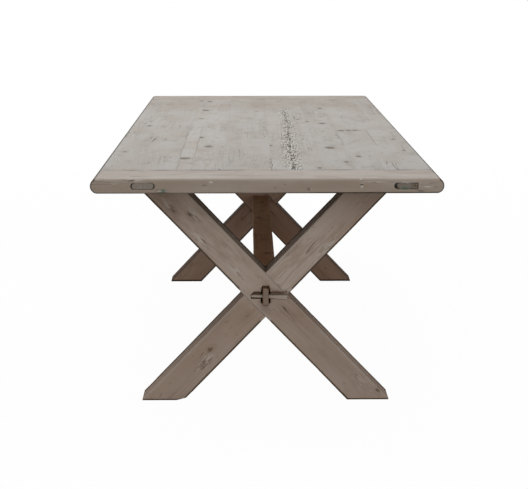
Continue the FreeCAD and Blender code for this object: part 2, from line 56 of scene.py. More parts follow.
# %% [markdown]
# ## Helpers that every finish and piece needs
# Colours are written as the hex codes that a paint or photo program shows. The shader works in
# linear light, so one function turns a code into what a socket takes. Node trees are long lists of
# nodes, so one more function adds a node, gives it its settings and fills its sockets. Two short
# ones start a material and put an object into the scene.

# %% Colours and nodes
def colour(code):
    """The linear colour of an sRGB hex code such as "#b1aea8"."""
    parts = [int(code[place:place + 2], 16) / 255 for place in (1, 3, 5)]
    linear = [part / 12.92 if part <= 0.04045 else ((part + 0.055) / 1.055) ** 2.4 for part in parts]
    return (*linear, 1.0)


def add(tree, kind, inputs=None, out=0, **settings):
    """Adds a node with its settings, and a value or a link for each input. Gives one output."""
    node = tree.nodes.new(kind)
    for name, value in settings.items():
        setattr(node, name, value)
    for name, value in (inputs or {}).items():
        if isinstance(value, bpy.types.NodeSocket):
            tree.links.new(value, node.inputs[name])
        else:
            node.inputs[name].default_value = value
    return node.outputs[out] if len(node.outputs) else node


def new_material(name):
    """A material that uses nodes, with its node tree and its shader."""
    material = bpy.data.materials.new(name)
    material.use_nodes = True
    return material, material.node_tree, material.node_tree.nodes["Principled BSDF"]


def put_in_scene(name, data):
    """Makes an object of a mesh, a lamp or a camera, and links it into the scene."""
    made = bpy.data.objects.new(name, data)
    bpy.context.scene.collection.objects.link(made)
    return made


print("white is", colour("#ffffff"), "and middle grey is", colour("#808080"))

# %% [markdown]
# ## How old pine looks
# Pine grows in rings, and a sawn board shows them as long lines that arch and flow round the knots.
# The late wood of each ring is darker and harder, so it stands a little proud once the soft wood
# between has worn. A picture of wood could be wrapped round each beam, but it would not join up at
# the corners. Here the rings are worked out in space round a pith line that runs beside the piece,
# so the faces, the edges and the end grain of one piece belong together.
#
# Each piece carries its own measure of itself in an attribute called "grain": how far a point is
# from the middle of the piece across the grain, along it, and through its depth.

# %% What the shader group takes, and the noises it is made of
# Grime carries real dirt and painted shade alike, and the Dirt colour draws both.
SOCKETS = {
    "Grain": "Vector", "Half size": "Vector", "Pith": "Vector", "Shift": "Vector",
    "Knot": "Float", "Stain_and_shade": "Float", "Scar": "Float", "Paint": "Float", "Grime_and_shade": "Float",
    "Figure": "Float", "Wear": "Float", "Base": "Color", "Pale": "Color", "Late wood": "Color",
    "Dirt and shade": "Color", "Stain colour": "Color", "Worn edge": "Color", "Splinter": "Color",
    "Old paint": "Color",
}
# Cells to the metre across the grain, along it and through the piece, then detail and roughness.
NOISES = {
    "meander": ((4.0, 1.1, 4.0), 1.0, 0.5),      # how far the pith line wanders
    "ripple": ((16.0, 5.0, 16.0), 2.0, 0.5),     # waves in the rings
    "fibre": ((420.0, 14.0, 420.0), 3.0, 0.65),  # fibres of about 2 mm, drawn coarse enough to show
    "streak": ((48.0, 1.7, 48.0), 3.0, 0.6),     # the 20 mm bands that show from across a room
    "blotch": ((9.0, 3.2, 9.0), 3.0, 0.55),      # where the bleach took more or less
    "mottle": ((30.0, 13.0, 30.0), 2.0, 0.6),    # hand-sized clouds of warmer and cooler grey
    "fleck": ((150.0, 36.0, 150.0), 2.0, 0.6),   # 6 mm dents and worm holes
    "patchy": ((9.0, 3.5, 9.0), 1.0, 0.5),       # where figure, flecks and checks show at all
    "check": ((26.0, 0.9, 26.0), 2.0, 0.5),      # its middle value draws the drying checks
    "torn": ((190.0, 28.0, 190.0), 2.0, 0.62),   # slivers in a scar, 5 mm wide and 35 mm long
}
# Each layer of colour: its colour, the field that places it, where it starts and is full, how
# strong it is there, and the input that scales it.
LAYERS = [
    ("Pale", "blotch", 0.34, 0.66, 0.7, None),
    ("Late wood", "mottle", 0.5, 0.75, 0.25, None),
    ("Late wood", "mottle", 0.48, 0.7, 0.8, "Figure"),
    ("Late wood", "bands", 0.46, 0.72, 0.6, "Figure"),
    ("Late wood", "streak", 0.5, 0.78, 0.75, "Figure"),
    ("Pale", "streak", 0.47, 0.3, 0.6, "Figure"),
    ("Late wood", "rings", 0.5, 0.66, 1.0, "Figure"),
    ("Pale", "fibre", 0.56, 0.74, 0.9, "Figure"),
    ("Late wood", "fibre", 0.44, 0.26, 0.9, "Figure"),
    ("Stain colour", "stain_and_shade", 0.0, 1.0, 1.0, None),
    ("Dirt and shade", "checks", 0.0, 1.0, 0.7, None),
    ("Dirt and shade", "flecks", 0.0, 1.0, 0.5, None),
    ("Worn edge", "arris", 0.004, -0.004, 1.0, "Wear"),
    ("Splinter", "torn", 0.52, 0.44, 1.0, "Scar"),
    ("Dirt and shade", "torn", 0.5, 0.58, 1.0, "Scar"),
    ("Late wood", "knot", 0.016, 0.0, 0.35, None),
    ("Dirt and shade", "knot", 0.003, -0.003, 0.62, None),
    ("Stain colour", "heart", 0.0, 1.0, 0.5, None),
    ("Dirt and shade", "grime_and_shade", 0.0, 1.0, 1.0, None),
    ("Old paint", "paint", 0.0, 1.0, 1.0, None),
]
# What stands proud (+) or lies deep (-) in the bump: field, start, full, height.
RELIEF = [
    ("rings", 0.3, 0.7, 0.35), ("fibre", 0.2, 0.8, 0.45), ("bands", 0.4, 0.7, 0.25),
    ("checks", 0.0, 1.0, -1.2), ("flecks", 0.0, 1.0, -0.5), ("scarred", 0.0, 1.0, -1.8),
    ("rim", 0.0025, 0.0, -0.6),
]

# %% The wood's figure as one shader group
KNOT_PUSH, KNOT_REACH = 0.016, 0.018   # how far a knot pushes the rings aside, and how soon that fades
PITH_WANDER, RIPPLE = 0.09, 0.02       # how far the pith strays across the grain, and the rings in depth


def pine_group():
    """The shader group that draws aged pine from each point's place in its own piece."""
    tree = bpy.data.node_groups.new("aged_pine", "ShaderNodeTree")
    for name, kind in SOCKETS.items():
        tree.interface.new_socket(name, in_out="INPUT", socket_type="NodeSocket" + kind)
    for name, kind in (("Color", "Color"), ("Roughness", "Float"), ("Height", "Float")):
        tree.interface.new_socket(name, in_out="OUTPUT", socket_type="NodeSocket" + kind)
    given = tree.nodes.new("NodeGroupInput").outputs
    result = tree.nodes.new("NodeGroupOutput")
    math_node, smooth = "ShaderNodeMath", {"interpolation_type": "SMOOTHSTEP"}

    shifted = add(tree, "ShaderNodeVectorMath", {0: given["Grain"], 1: given["Shift"]},
                  operation="ADD")
    field = {name.lower(): given[name] for name in ("Stain_and_shade", "Knot", "Paint", "Grime_and_shade")}
    for name, (scale, detail, rough) in NOISES.items():
        place = add(tree, "ShaderNodeVectorMath", {0: shifted, 1: scale}, operation="MULTIPLY")
        field[name] = add(tree, "ShaderNodeTexNoise", {"Vector": place, "Scale": 1.0,
                          "Detail": detail, "Roughness": rough})
    part = {}
    for name in ("Grain", "Half size", "Pith"):
        split = add(tree, "ShaderNodeSeparateXYZ", {0: given[name]}).node
        part[name] = [split.outputs[0], split.outputs[1], split.outputs[2]]

    # Growth rings round the pith. They meander, and a knot pushes them aside by up to 16 mm.
    beyond = add(tree, math_node, {0: given["Knot"], 1: 0.0}, operation="MAXIMUM")
    lift = add(tree, math_node, {0: beyond, 1: -1 / KNOT_REACH}, operation="MULTIPLY")
    lift = add(tree, math_node, {0: lift}, operation="EXPONENT")
    squares = []
    for axis, bend, reach in ((0, "meander", PITH_WANDER), (2, "ripple", RIPPLE)):
        away = add(tree, math_node, {0: field[bend], 1: reach, 2: part["Pith"][axis]},
                   operation="MULTIPLY_ADD")
        away = add(tree, math_node, {0: part["Grain"][axis], 1: away}, operation="ADD")
        squares.append(add(tree, math_node, {0: away, 1: 2.0}, operation="POWER"))
    radius = add(tree, math_node, {0: squares[0], 1: squares[1]}, operation="ADD")
    radius = add(tree, math_node, {0: radius}, operation="SQRT")
    radius = add(tree, math_node, {0: lift, 1: KNOT_PUSH, 2: radius}, operation="MULTIPLY_ADD")
    # Rings of about 4 mm, and bands of about 16 mm that still show from a few metres away.
    for name, to_the_metre, detail in (("rings", 250.0, 2.0), ("bands", 62.0, 1.0)):
        count = add(tree, math_node, {0: radius, 1: to_the_metre}, operation="MULTIPLY")
        field[name] = add(tree, "ShaderNodeTexNoise", {"W": count, "Scale": 1.0,
                          "Detail": detail, "Roughness": 0.6}, noise_dimensions="1D")

    # The figure comes and goes along a board, as the saw ran in and out of the rings.
    shows = add(tree, "ShaderNodeMapRange", {0: field["patchy"], 1: 0.4, 2: 0.62, 3: 0.35, 4: 1.5},
                **smooth)
    scale_of = {"Wear": given["Wear"], "Scar": given["Scar"],
                "Figure": add(tree, math_node, {0: shows, 1: given["Figure"]},
                              operation="MULTIPLY")}

    # Drying checks are hairlines where a long noise passes its middle value, here and there.
    line = add(tree, math_node, {0: field["check"], 1: 0.5}, operation="SUBTRACT")
    line = add(tree, math_node, {0: line}, operation="ABSOLUTE")
    for name, source, low, high, here, there in (
            ("checks", line, 0.0045, 0.001, 0.5, 0.6),
            ("flecks", field["fleck"], 0.66, 0.74, 0.62, 0.45)):
        mask = add(tree, "ShaderNodeMapRange", {0: source, 1: low, 2: high}, **smooth)
        where = add(tree, "ShaderNodeMapRange", {0: field["patchy"], 1: here, 2: there}, **smooth)
        field[name] = add(tree, math_node, {0: mask, 1: where}, operation="MULTIPLY")
    sliver = add(tree, "ShaderNodeMapRange", {0: field["torn"], 1: 0.46, 2: 0.6}, **smooth)
    field["scarred"] = add(tree, math_node, {0: sliver, 1: given["Scar"]}, operation="MULTIPLY")

    # A knot has its own small rings inside a dark rim.
    field["rim"] = add(tree, math_node, {0: given["Knot"]}, operation="ABSOLUTE")
    inside = add(tree, "ShaderNodeMapRange", {0: given["Knot"], 1: -0.001, 2: -0.004}, **smooth)
    heart = add(tree, math_node, {0: given["Knot"], 1: 260.0}, operation="MULTIPLY")
    heart = add(tree, math_node, {0: heart}, operation="FRACT")
    field["heart"] = add(tree, math_node, {0: heart, 1: inside}, operation="MULTIPLY")

    # How far the nearest long arris is, which hands, knees and brooms rub from.
    gaps = []
    for axis in (0, 2):
        gap = add(tree, math_node, {0: part["Grain"][axis]}, operation="ABSOLUTE")
        gaps.append(add(tree, math_node, {0: part["Half size"][axis], 1: gap},
                        operation="SUBTRACT"))
    arris = add(tree, math_node, {0: gaps[0], 1: gaps[1]}, operation="MAXIMUM")
    field["arris"] = add(tree, math_node, {0: field["streak"], 1: -0.012, 2: arris},
                         operation="MULTIPLY_ADD")

    tone = given["Base"]
    for paint, source, low, high, strength, scale in LAYERS:
        mask = add(tree, "ShaderNodeMapRange", {0: field[source], 1: low, 2: high, 4: strength},
                   **smooth)
        if scale:
            mask = add(tree, math_node, {0: mask, 1: scale_of[scale]}, operation="MULTIPLY")
        tone = add(tree, "ShaderNodeMix", {0: mask, 6: tone, 7: given[paint]}, 2,
                   data_type="RGBA")
    height = 0.0
    for source, low, high, tall in RELIEF:
        part_height = add(tree, "ShaderNodeMapRange", {0: field[source], 1: low, 2: high,
                          4: tall}, **smooth)
        height = add(tree, math_node, {0: part_height, 1: height}, operation="ADD")
    gloss = add(tree, math_node, {0: field["fibre"], 1: 0.16, 2: 0.66}, operation="MULTIPLY_ADD")
    for name, value in (("Color", tone), ("Roughness", gloss), ("Height", height)):
        tree.links.new(value, result.inputs[name])
    return tree


PINE = pine_group()
print("the pine group has", len(PINE.nodes), "nodes")

# %% [markdown]
# ## One material for each piece
# No two boards of an old table match: each came from its own tree and was washed, waxed and knocked
# in its own way. So each piece gets its own material from the shared group, with its own pith, its
# own place in the noise, a slightly different tone, and the knots that show on it. The shader's
# uniform values are set on its own sockets.

# %% Finishes and the function that makes a material from one
# Each finish's Dirt colour is also the colour of the painted shade on its piece.
FINISHES = {
    # Reclaimed pine scrubbed and bleached grey: dry, open and almost without colour.
    "bleached_pine": {"Base": "#b6b0aa", "Pale": "#bdbcba", "Late wood": "#9a938a",
                      "Dirt and shade": "#4d4842", "Stain colour": "#9a8771", "Worn edge": "#8d877f",
                      "Figure": 0.2, "Wear": 0.05},
    # The same pine across the ends, handled more and so rosier and browner on its outer face.
    "end_pine": {"Base": "#b6aea7", "Pale": "#c1bab3", "Late wood": "#9c9085",
                 "Dirt and shade": "#4b4138", "Stain colour": "#958577", "Worn edge": "#b3aaa2",
                 "Figure": 0.22, "Wear": 0.2},
    # Squared pine beams, aged to a greyish brown, with paler and greyer rubbed arrises.
    "beam_pine": {"Base": "#b6a497", "Pale": "#c1b3a8", "Late wood": "#9b8677",
                  "Dirt and shade": "#4e3b29", "Stain colour": "#8a7161", "Worn edge": "#b5ada4",
                  "Figure": 0.28, "Wear": 0.4},
    # The rear beams are browner and darker than the front pair: a copy of the beam pine with
    # painted shade, as they stand behind the front pair and under the top.
    "painted_shade_beam_pine": {"Base": "#a98c7b", "Pale": "#b49b8a", "Late wood": "#8d7262",
                         "Dirt and shade": "#3b291e", "Stain colour": "#7d5c49", "Worn edge": "#9c8d80",
                         "Figure": 0.3, "Wear": 0.3},
    # The stretcher is the brown of old wax, like wood that was never scrubbed.
    "waxed_pine": {"Base": "#a1795b", "Pale": "#b18b6d", "Late wood": "#845d43",
                   "Dirt and shade": "#38271a", "Stain colour": "#927f72", "Worn edge": "#a58b74",
                   "Figure": 0.4, "Wear": 0.5},
    # Keys and wedges are split from cleaner, paler stuff.
    "key_wood": {"Base": "#a6988b", "Pale": "#b7ab9f", "Late wood": "#94836f",
                 "Dirt and shade": "#54463b", "Stain colour": "#94806a", "Worn edge": "#c9beb2",
                 "Figure": 0.3, "Wear": 0.3},
}
# The same on every piece: fresh splinters in a scar, and specks of a green paint long scrubbed off.
MARKED = {"Splinter": "#d4d2cc", "Old paint": "#556b5d"}
COLOURED = ("Base", "Pale", "Late wood", "Dirt and shade", "Stain colour", "Worn edge")


def timber_material(name, finish, half, seed, knots=(), tone=1.0):
    """A material for one piece. knots are (across, along, radius, stretch) in millimetres."""
    material, tree, shader = new_material(name)
    grain = add(tree, "ShaderNodeAttribute", out="Vector", attribute_name="grain")
    uneven = add(tree, "ShaderNodeTexNoise", {"Vector": grain, "Scale": 70.0, "Detail": 1.0},
                 "Color")
    uneven = add(tree, "ShaderNodeVectorMath", {0: uneven, 1: (0.012,) * 3, 2: grain},
                 operation="MULTIPLY_ADD")
    nearest = None
    for across, along, radius, stretch in knots:
        # The noise adds 6 mm on average, which the knot's place makes up for.
        middle = (across * MM + 0.006, along * MM + 0.006, 0)
        apart = add(tree, "ShaderNodeVectorMath", {0: uneven, 1: middle}, operation="SUBTRACT")
        apart = add(tree, "ShaderNodeVectorMath", {0: apart, 1: (1, 1 / stretch, 0)},
                    operation="MULTIPLY")
        apart = add(tree, "ShaderNodeVectorMath", {0: apart}, "Value", operation="LENGTH")
        apart = add(tree, "ShaderNodeMath", {0: apart, 1: radius * MM}, operation="SUBTRACT")
        nearest = apart if nearest is None else add(
            tree, "ShaderNodeMath", {0: nearest, 1: apart}, operation="MINIMUM")
    values = FINISHES[finish] | MARKED
    group = tree.nodes.new("ShaderNodeGroup")
    group.node_tree = PINE
    tree.links.new(grain, group.inputs["Grain"])
    group.inputs["Half size"].default_value = half
    group.inputs["Pith"].default_value = (0.07 * math.sin(seed * 2.1), 0, -0.055 - 0.02 * (seed % 3))
    group.inputs["Shift"].default_value = (1.7 * seed, 5.3 * seed, 0.9 * seed)
    if nearest is None:
        group.inputs["Knot"].default_value = 1.0
    else:
        tree.links.new(nearest, group.inputs["Knot"])
    for mark in ("Stain_and_shade", "Scar", "Paint", "Grime_and_shade"):
        strength = add(tree, "ShaderNodeAttribute", out="Fac", attribute_name=mark.lower())
        tree.links.new(strength, group.inputs[mark])
    for key in ("Figure", "Wear"):
        group.inputs[key].default_value = values[key]
    for key in (*COLOURED, *MARKED):
        red, green, blue, alpha = colour(values[key])
        group.inputs[key].default_value = (red * tone, green * tone, blue * tone, alpha)
    tree.links.new(group.outputs["Color"], shader.inputs["Base Color"])
    tree.links.new(group.outputs["Roughness"], shader.inputs["Roughness"])
    bump = add(tree, "ShaderNodeBump", {"Height": group.outputs["Height"], "Strength": 0.6,
               "Distance": 0.9 * MM})
    tree.links.new(bump, shader.inputs["Normal"])
    # Dry old wood is porous and throws back almost no sheen, even seen along its face.
    shader.inputs["Specular IOR Level"].default_value = 0.04
    return material


print("finishes:", ", ".join(FINISHES))

# %% [markdown]
# ## Cutting a piece fine enough to wear it
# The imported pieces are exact, with dead sharp arrises and a few long triangles for each face. A worn
# piece needs points where the wear is. It could be remeshed into small cubes, but that blurs the
# joints. Here a copy of the piece is cut by rows of planes instead, as a loaf is sliced, so every
# joint stays where it was and the faces between become a neat grid.

# %% Slice a copy of a node
def slice_along(mesh, axis, places):
    """Cuts by planes across an axis, from low to high, each through what still lies ahead only."""
    ahead = list(mesh.faces)
    for place in sorted(places):
        if not ahead:
            return
        parts = {item for face in ahead for item in (*face.verts, *face.edges, face)}
        cut = bmesh.ops.bisect_plane(mesh, geom=list(parts), dist=1e-6, plane_co=axis * place,
                                     plane_no=axis)
        faces = [item for item in cut["geom"] if isinstance(item, bmesh.types.BMFace)]
        ahead = [face for face in faces
                 if max(vertex.co.dot(axis) for vertex in face.verts) > place + 1e-6]


def places_between(low, high, step):
    """Evenly spaced places inside a stretch, about a step apart."""
    count = max(1, round((high - low) / step))
    return [low + (high - low) * index / count for index in range(1, count)]


def near_ends(half, margins):
    """Places that lie so many millimetres in from both ends."""
    return [side * (half - margin * MM) for side in (-1, 1) for margin in margins]


def rows(half, step, margins=()):
    """Places a step in millimetres apart over the whole reach, with more of them near both ends."""
    return places_between(-half, half, step * MM) + near_ends(half, margins)


def ramp(value, start, width):
    """0 up to a start, then rising to 1 over a width."""
    return np.clip((value - start) / width, 0, 1)


def smooth_noise(points, scale, seed):
    """Smooth noise from about -1 to 1 at each point, with cells of 1 / scale metres."""
    shift = Vector((seed * 3.71, seed * 1.13, seed * 7.77))
    return np.array([noise.noise(Vector(point) + shift) for point in points * np.array(scale)])


def as_object(mesh, name, material, attributes=()):
    """Turns a bmesh into a linked object with smooth faces and its attributes."""
    data = bpy.data.meshes.new(name)
    mesh.to_mesh(data)
    mesh.free()
    for key, kind, values in attributes:
        layer = data.attributes.new(key, kind, "POINT")
        field = "vector" if kind == "FLOAT_VECTOR" else "value"
        layer.data.foreach_set(field, np.ascontiguousarray(values, np.float32).ravel())
    data.polygons.foreach_set("use_smooth", [True] * len(data.polygons))
    data.set_sharp_from_angle(angle=math.radians(38))
    data.materials.append(material)
    return put_in_scene(name, data)


AXES = {
    # across the grain, along it, and through the depth
    "lengthwise": ((1, 0, 0), (0, 1, 0), (0, 0, 1)),
    "crosswise": ((0, 1, 0), (1, 0, 0), (0, 0, 1)),
    "upright": ((0, 0, 1), (1, 0, 0), (0, 1, 0)),
}


def worn_piece(node, name, material, axes, centre, half, cuts, arris, dent=0.25, ends=False,
               seed=1, shape=None, bevel=0, flush=False, levels=()):
    """A sliced copy of a node with rubbed arrises and small dents, all of it inside the sharp piece.

    arris is the radius in millimetres that wear has given the long arrises, and ends says
    whether the ends are rubbed round too. bevel breaks every arris of a tapered piece by that
    much. shape changes the local points and gives the marks of each, by name: "kept" marks where
    an arris was kept from wear. flush pieces lie side by side, so no dents reach their sides.
    levels are heights for more cuts, level with the floor.
    """
    mesh = bmesh.new()
    mesh.from_mesh(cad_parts[node].data)
    bmesh.ops.remove_doubles(mesh, verts=mesh.verts, dist=2e-6)
    bmesh.ops.dissolve_limit(mesh, angle_limit=math.radians(0.5), verts=mesh.verts,
                             edges=mesh.edges, delimit=set())
    if bevel:
        sharp = [edge for edge in mesh.edges
                 if len(edge.link_faces) == 2 and edge.calc_face_angle() > math.radians(30)]
        bmesh.ops.bevel(mesh, geom=sharp, offset=bevel * MM, offset_type="OFFSET", segments=3,
                        profile=0.5, affect="EDGES", clamp_overlap=True)
    basis = [Vector(axis).normalized() for axis in axes]
    origin = Vector(centre)
    slice_along(mesh, Vector((0, 0, 1)), levels)
    for axis, places in zip(basis, cuts):
        base = origin.dot(axis)
        slice_along(mesh, axis, [base + place for place in places])
    bmesh.ops.triangulate(mesh, faces=[face for face in mesh.faces if len(face.verts) > 4])
    mesh.verts.ensure_lookup_table()
    world = np.array([vertex.co for vertex in mesh.verts])
    turn = np.array(basis)
    local = (world - np.array(origin)) @ turn.T
    grain = local.copy()
    half = np.array(half)
    marks = {}

    # Dents push the outer faces in by a fraction of a millimetre.
    pressed = dent * MM * np.clip(0.45 + smooth_noise(local, (22, 7, 22), seed), 0, 1)
    for axis in (2,) if flush else (0, 2):
        outer = half[axis] - np.abs(local[:, axis]) < 0.3 * MM
        local[:, axis] -= np.sign(local[:, axis]) * pressed * outer
    if shape is not None:
        marks = shape(local, grain)

    # Wear rounds each arris by a radius that wanders along it, with a deeper chip now and then.
    corner = np.sign(grain[:, 0]) + 3 * np.sign(grain[:, 2])
    along = np.stack([corner * 5.3, grain[:, 1] * 7, corner * 0], 1)
    wander = smooth_noise(along, (1, 1, 1), seed)
    chips = smooth_noise(along, (1, 4.1, 1), seed + 40)
    radius = arris * MM * (1 + 0.5 * wander + 1.3 * np.clip((chips - 0.28) * 4, 0, 1))
    radius = radius * (1 - marks.pop("kept", 0))
    for first, second in ((0, 2), (0, 1), (1, 2)) if ends else ((0, 2),):
        inner = [np.clip(grain[:, axis], radius - half[axis], half[axis] - radius)
                 for axis in (first, second)]
        reach = [grain[:, axis] - limit for axis, limit in zip((first, second), inner)]
        apart = np.hypot(*reach)
        over = (np.abs(reach[0]) > 1e-9) & (np.abs(reach[1]) > 1e-9) & (apart > radius)
        shrink = np.where(over, 1 - radius / np.maximum(apart, 1e-9), 0)
        for axis, out in zip((first, second), reach):
            local[:, axis] -= out * shrink
    low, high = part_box(node)
    world = np.clip(local @ turn + np.array(origin), low, high)
    for vertex, place in zip(mesh.verts, world):
        vertex.co = place
    return as_object(mesh, name, material, [("grain", "FLOAT_VECTOR", grain)] +
                     [(mark, "FLOAT", values) for mark, values in marks.items()])


PIECES = []


def fit_out(piece, body, slot, *nodes):
    """Puts a finished piece on its body and in the place of its nodes, which it hides. slot is not used.
    """
    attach(piece, body)
    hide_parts(*nodes)
    PIECES.append(piece)


print("pieces can be cut", ", ".join(AXES))

# %% [markdown]
# ## The top
# Six planks of unequal width lie side by side between the two end boards. The old boards have
# knots, a brown bloom towards the far end where the bleach took less, and three torn scars, one of
# them long and deep. The scars are real depth, so their planks are cut into a finer grid.

# %% Sizes of the top
end_low, end_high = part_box("end_board_front")
PLANK_END = -end_high.y
TOP_Z = (end_low.z + end_high.z) / 2
HALF_TOP = (end_high.z - end_low.z) / 2
HALF_WIDTH = end_high.x
# How far from the middle of the table its tenons, end rims, rounded ends and outer faces begin, and
# the stretch over which each of their marks fades in.
TENON_FROM, RIM_FROM, ROUND_FROM, FACE_FROM = 1.18, 1.228, 1.23, 1.238
END_FADE = 0.01
print("planks reach", round(PLANK_END, 3), "m from the middle; the top is", round(2 * HALF_TOP, 3),
      "m thick")

# %% Marks on the top, in millimetres of the whole table
KNOTS = {
    1: [(-429, 50, 6, 2.9), (-456, -675, 4, 2.1)],
    2: [(-222, -306, 9, 2.2), (-188, -546, 10, 2.1), (-253, -825, 15, 1.9), (-231, 600, 12, 2.1),
        (-225, 975, 9, 2.2), (-241, 290, 7, 1.6), (-262, 1005, 6, 2.2)],
    3: [(-20, 560, 4, 2.0)],
    4: [(142, 262, 5, 2.1), (19, -525, 6, 2.2), (160, -1040, 7, 2.1)],
    5: [(219, -585, 14, 1.9), (231, 120, 11, 1.9), (172, 190, 7, 2.1), (250, 675, 9, 2.1),
        (250, -915, 6, 2.4)],
    6: [(288, -107, 10, 1.5), (314, -102, 10, 1.5), (338, -104, 9, 1.5), (297, -790, 8, 1.9),
        (452, -360, 5, 2.6)],
}
# Brown blooms: middle x and y, half width and half length, strength.
BLOOMS = [(-400, 780, 130, 300, 0.3), (-90, 860, 240, 300, 0.26), (60, 640, 110, 260, 0.2),
          (390, 800, 150, 300, 0.28), (200, 930, 150, 200, 0.18), (-300, -60, 200, 200, 0.06)]
# Torn scars: x in the middle of the table, how far it leans in a metre, where it starts at the back
# and ends at the front, half width, strength and depth.
SCARS = [(92.5, 10, 760, -1078, 27, 1.0, 2.8), (17, 0, -660, -1075, 7, 0.8, 0.8),
         (-30, 0, 640, 330, 6, 0.35, 0.3)]


def bloom_at(points):
    """How brown each point of the top is, from 0 to 1."""
    amount = np.zeros(len(points))
    for x, y, wide, long, strength in BLOOMS:
        apart = ((points[:, 0] / MM - x) / wide) ** 2 + ((points[:, 1] / MM - y) / long) ** 2
        amount = amount + strength * np.exp(-apart)
    return np.clip(amount + 0.08 * smooth_noise(points, (7, 2.4, 1), 3), 0, 0.8)


# Holes and nicks in the front board's outer face: x, height, half width, half height and depth.
NICKS = [(269, 760, 3.5, 7, 4), (268, 779, 5, 4, 3), (-160, 770, 5, 3, 1.5), (120, 750, 6, 3, 1)]
# Specks of green paint: x, height, half width and half height.
SPECKS = [(-296, 746, 9, 6), (-284, 753, 4, 4), (-309, 741, 4, 3), (392, 752, 14, 4)]
# Rough, dirty places: x, height, half width and half height.
ROUGH = [(452, 757, 14, 4), (436, 745, 12, 4), (-300, 742, 16, 6), (-384, 776, 26, 3),
         (-440, 768, 10, 3), (300, 770, 30, 2.5), (391, 767, 16, 3), (-366, 757, 9, 5),
         (-343, 760, 7, 4),
         (411, 754, 5, 4), (421, 756, 4, 4), (423, 766, 6, 4)]


def at_ends(table, start):
    """1 near both ends of the table, 0 short of a start that is measured from its middle."""
    return ramp(np.abs(table[:, 1]), start, END_FADE)


def near(points, x, height, wide, tall):
    """How near each point is to a mark on the front edge: 1 in its middle, falling to 0."""
    apart = ((points[:, 0] / MM - x) / wide) ** 2 + ((points[:, 2] / MM - height) / tall) ** 2
    return np.exp(-apart ** 1.5)


def dirt_and_painted_shade(table):
    """The end boards' seams get dirt, with gaps, the sides' shoulders get painted shade, and it is
    darker under the end rims.
    """
    broken = np.clip(0.65 + 1.1 * smooth_noise(table, (15, 1, 1), 17), 0.15, 1)
    seam = np.clip(1.3 - np.abs(np.abs(table[:, 1]) - PLANK_END) / (9 * MM), 0, 1) * broken
    seam = seam * (table[:, 2] > TOP_Z)
    # The sides are half round, so their painted shade is measured from the middle of that round.
    round_x = np.abs(table[:, 0]) - HALF_WIDTH + HALF_TOP
    from_rim = HALF_TOP - np.hypot(np.clip(round_x, 0, None), table[:, 2] - TOP_Z)
    side = ramp(round_x, 5 * MM, 4 * MM) * np.clip(1.8 - from_rim / (2.6 * MM), 0, 1)
    # The painted shade lies on the upper half of the round, and right round the ends.
    shoulder = 0.7 * ramp(table[:, 2] - TOP_Z, 2 * MM, 6 * MM)
    side = side * np.maximum(shoulder, at_ends(table, ROUND_FROM))
    under = ramp(TOP_Z - HALF_TOP + 6.5 * MM - table[:, 2], 0, 4 * MM) * at_ends(table, RIM_FROM)
    under = under * np.clip(0.48 + np.clip(table[:, 0] / 0.4, 0, 0.6) + 0.3 * (broken - 0.5), 0, 1)
    return np.max([0.6 * seam, side, under], axis=0)


def unscrubbed(table):
    """How brown the top's underside is, which no one ever scrubbed or bleached."""
    below = ramp(TOP_Z - HALF_TOP + 4 * MM - table[:, 2], 0, 3 * MM)
    return below * np.clip(0.75 + 0.5 * smooth_noise(table, (7, 3, 1), 21), 0, 1)


def front_marks(table):
    """The scar and the paint at each point that lies on the table's front face."""
    face = ramp(-table[:, 1], FACE_FROM, END_FADE)
    scar = [0.6 * face * near(table, *place) for place in ROUGH]
    paint = [0.85 * face * near(table, *place) for place in SPECKS]
    return np.max(scar, axis=0), np.max(paint, axis=0)


def top_shape(centre):
    """Gives a piece of the top its blooms, and the scarred plank its torn groove."""
    def shape(local, grain):
        table = grain + np.array(centre)
        along = np.stack([table[:, 1] * 0, table[:, 1], table[:, 1] * 0], 1)
        upper = grain[:, 2] > 0.02
        # The tenons' end grain has taken up the same dirt as the outer face of the end board.
        tenon = at_ends(table, TENON_FROM)
        stain_and_shade = np.maximum(bloom_at(table) * (1 - tenon), 0.5 * tenon)
        stain_and_shade = np.maximum(stain_and_shade, unscrubbed(table))
        scar, paint = front_marks(table)
        end_grain = tenon * np.where(table[:, 0] > 0, 0.55, 0.46)
        grime_and_shade = np.maximum(dirt_and_painted_shade(table) * (1 - tenon), end_grain)
        marks = {"stain_and_shade": stain_and_shade, "scar": scar, "paint": paint, "grime_and_shade": grime_and_shade}
        for x, lean, back, front, half_width, strength, depth in SCARS:
            middle = (x + lean * table[:, 1]) * MM + 5 * MM * smooth_noise(along, (1, 2.6, 1), 5)
            middle = middle + 4 * MM * smooth_noise(along, (1, 17, 1), 6)
            within = np.clip((back * MM - table[:, 1]) / 0.3, 0, 1)
            within = within * ramp(table[:, 1] / MM, front, 10) * upper
            apart = np.abs(table[:, 0] - middle) / MM
            torn = np.exp(-(apart / half_width) ** 2) * within
            torn = torn * (0.75 + 0.4 * smooth_noise(along, (1, 5, 1), 8))
            core = 0.2 * half_width * (1 + 0.7 * smooth_noise(along, (1, 11, 1), 9))
            groove = np.exp(-(apart / np.maximum(core, 0.8)) ** 2) * within
            pits = np.clip(smooth_noise(table, (150, 24, 1), 11) - 0.1, 0, 1) * torn
            local[:, 2] -= depth * MM * (groove + 1.2 * pits)
            marks["scar"] = np.clip(marks["scar"] + strength * (torn + 0.4 * groove), 0, 1)
            marks["grime_and_shade"] = np.maximum(marks["grime_and_shade"], 0.45 * strength * groove)
        return marks
    return shape


print(sum(map(len, KNOTS.values())), "knots,", len(BLOOMS), "blooms and", len(SCARS), "scars")

# %% Make the planks
PLANK_TONES = {1: 1.0, 2: 1.02, 3: 0.99, 4: 1.01, 5: 0.98, 6: 1.0}
# Distances in from an arris, in millimetres, where rows are cut for wear and for the round sides.
THIN = (0.4, 0.9, 1.6, 3.0)
ROUND = (5.0, 7.0, 9.0, 11.0, 14.0)

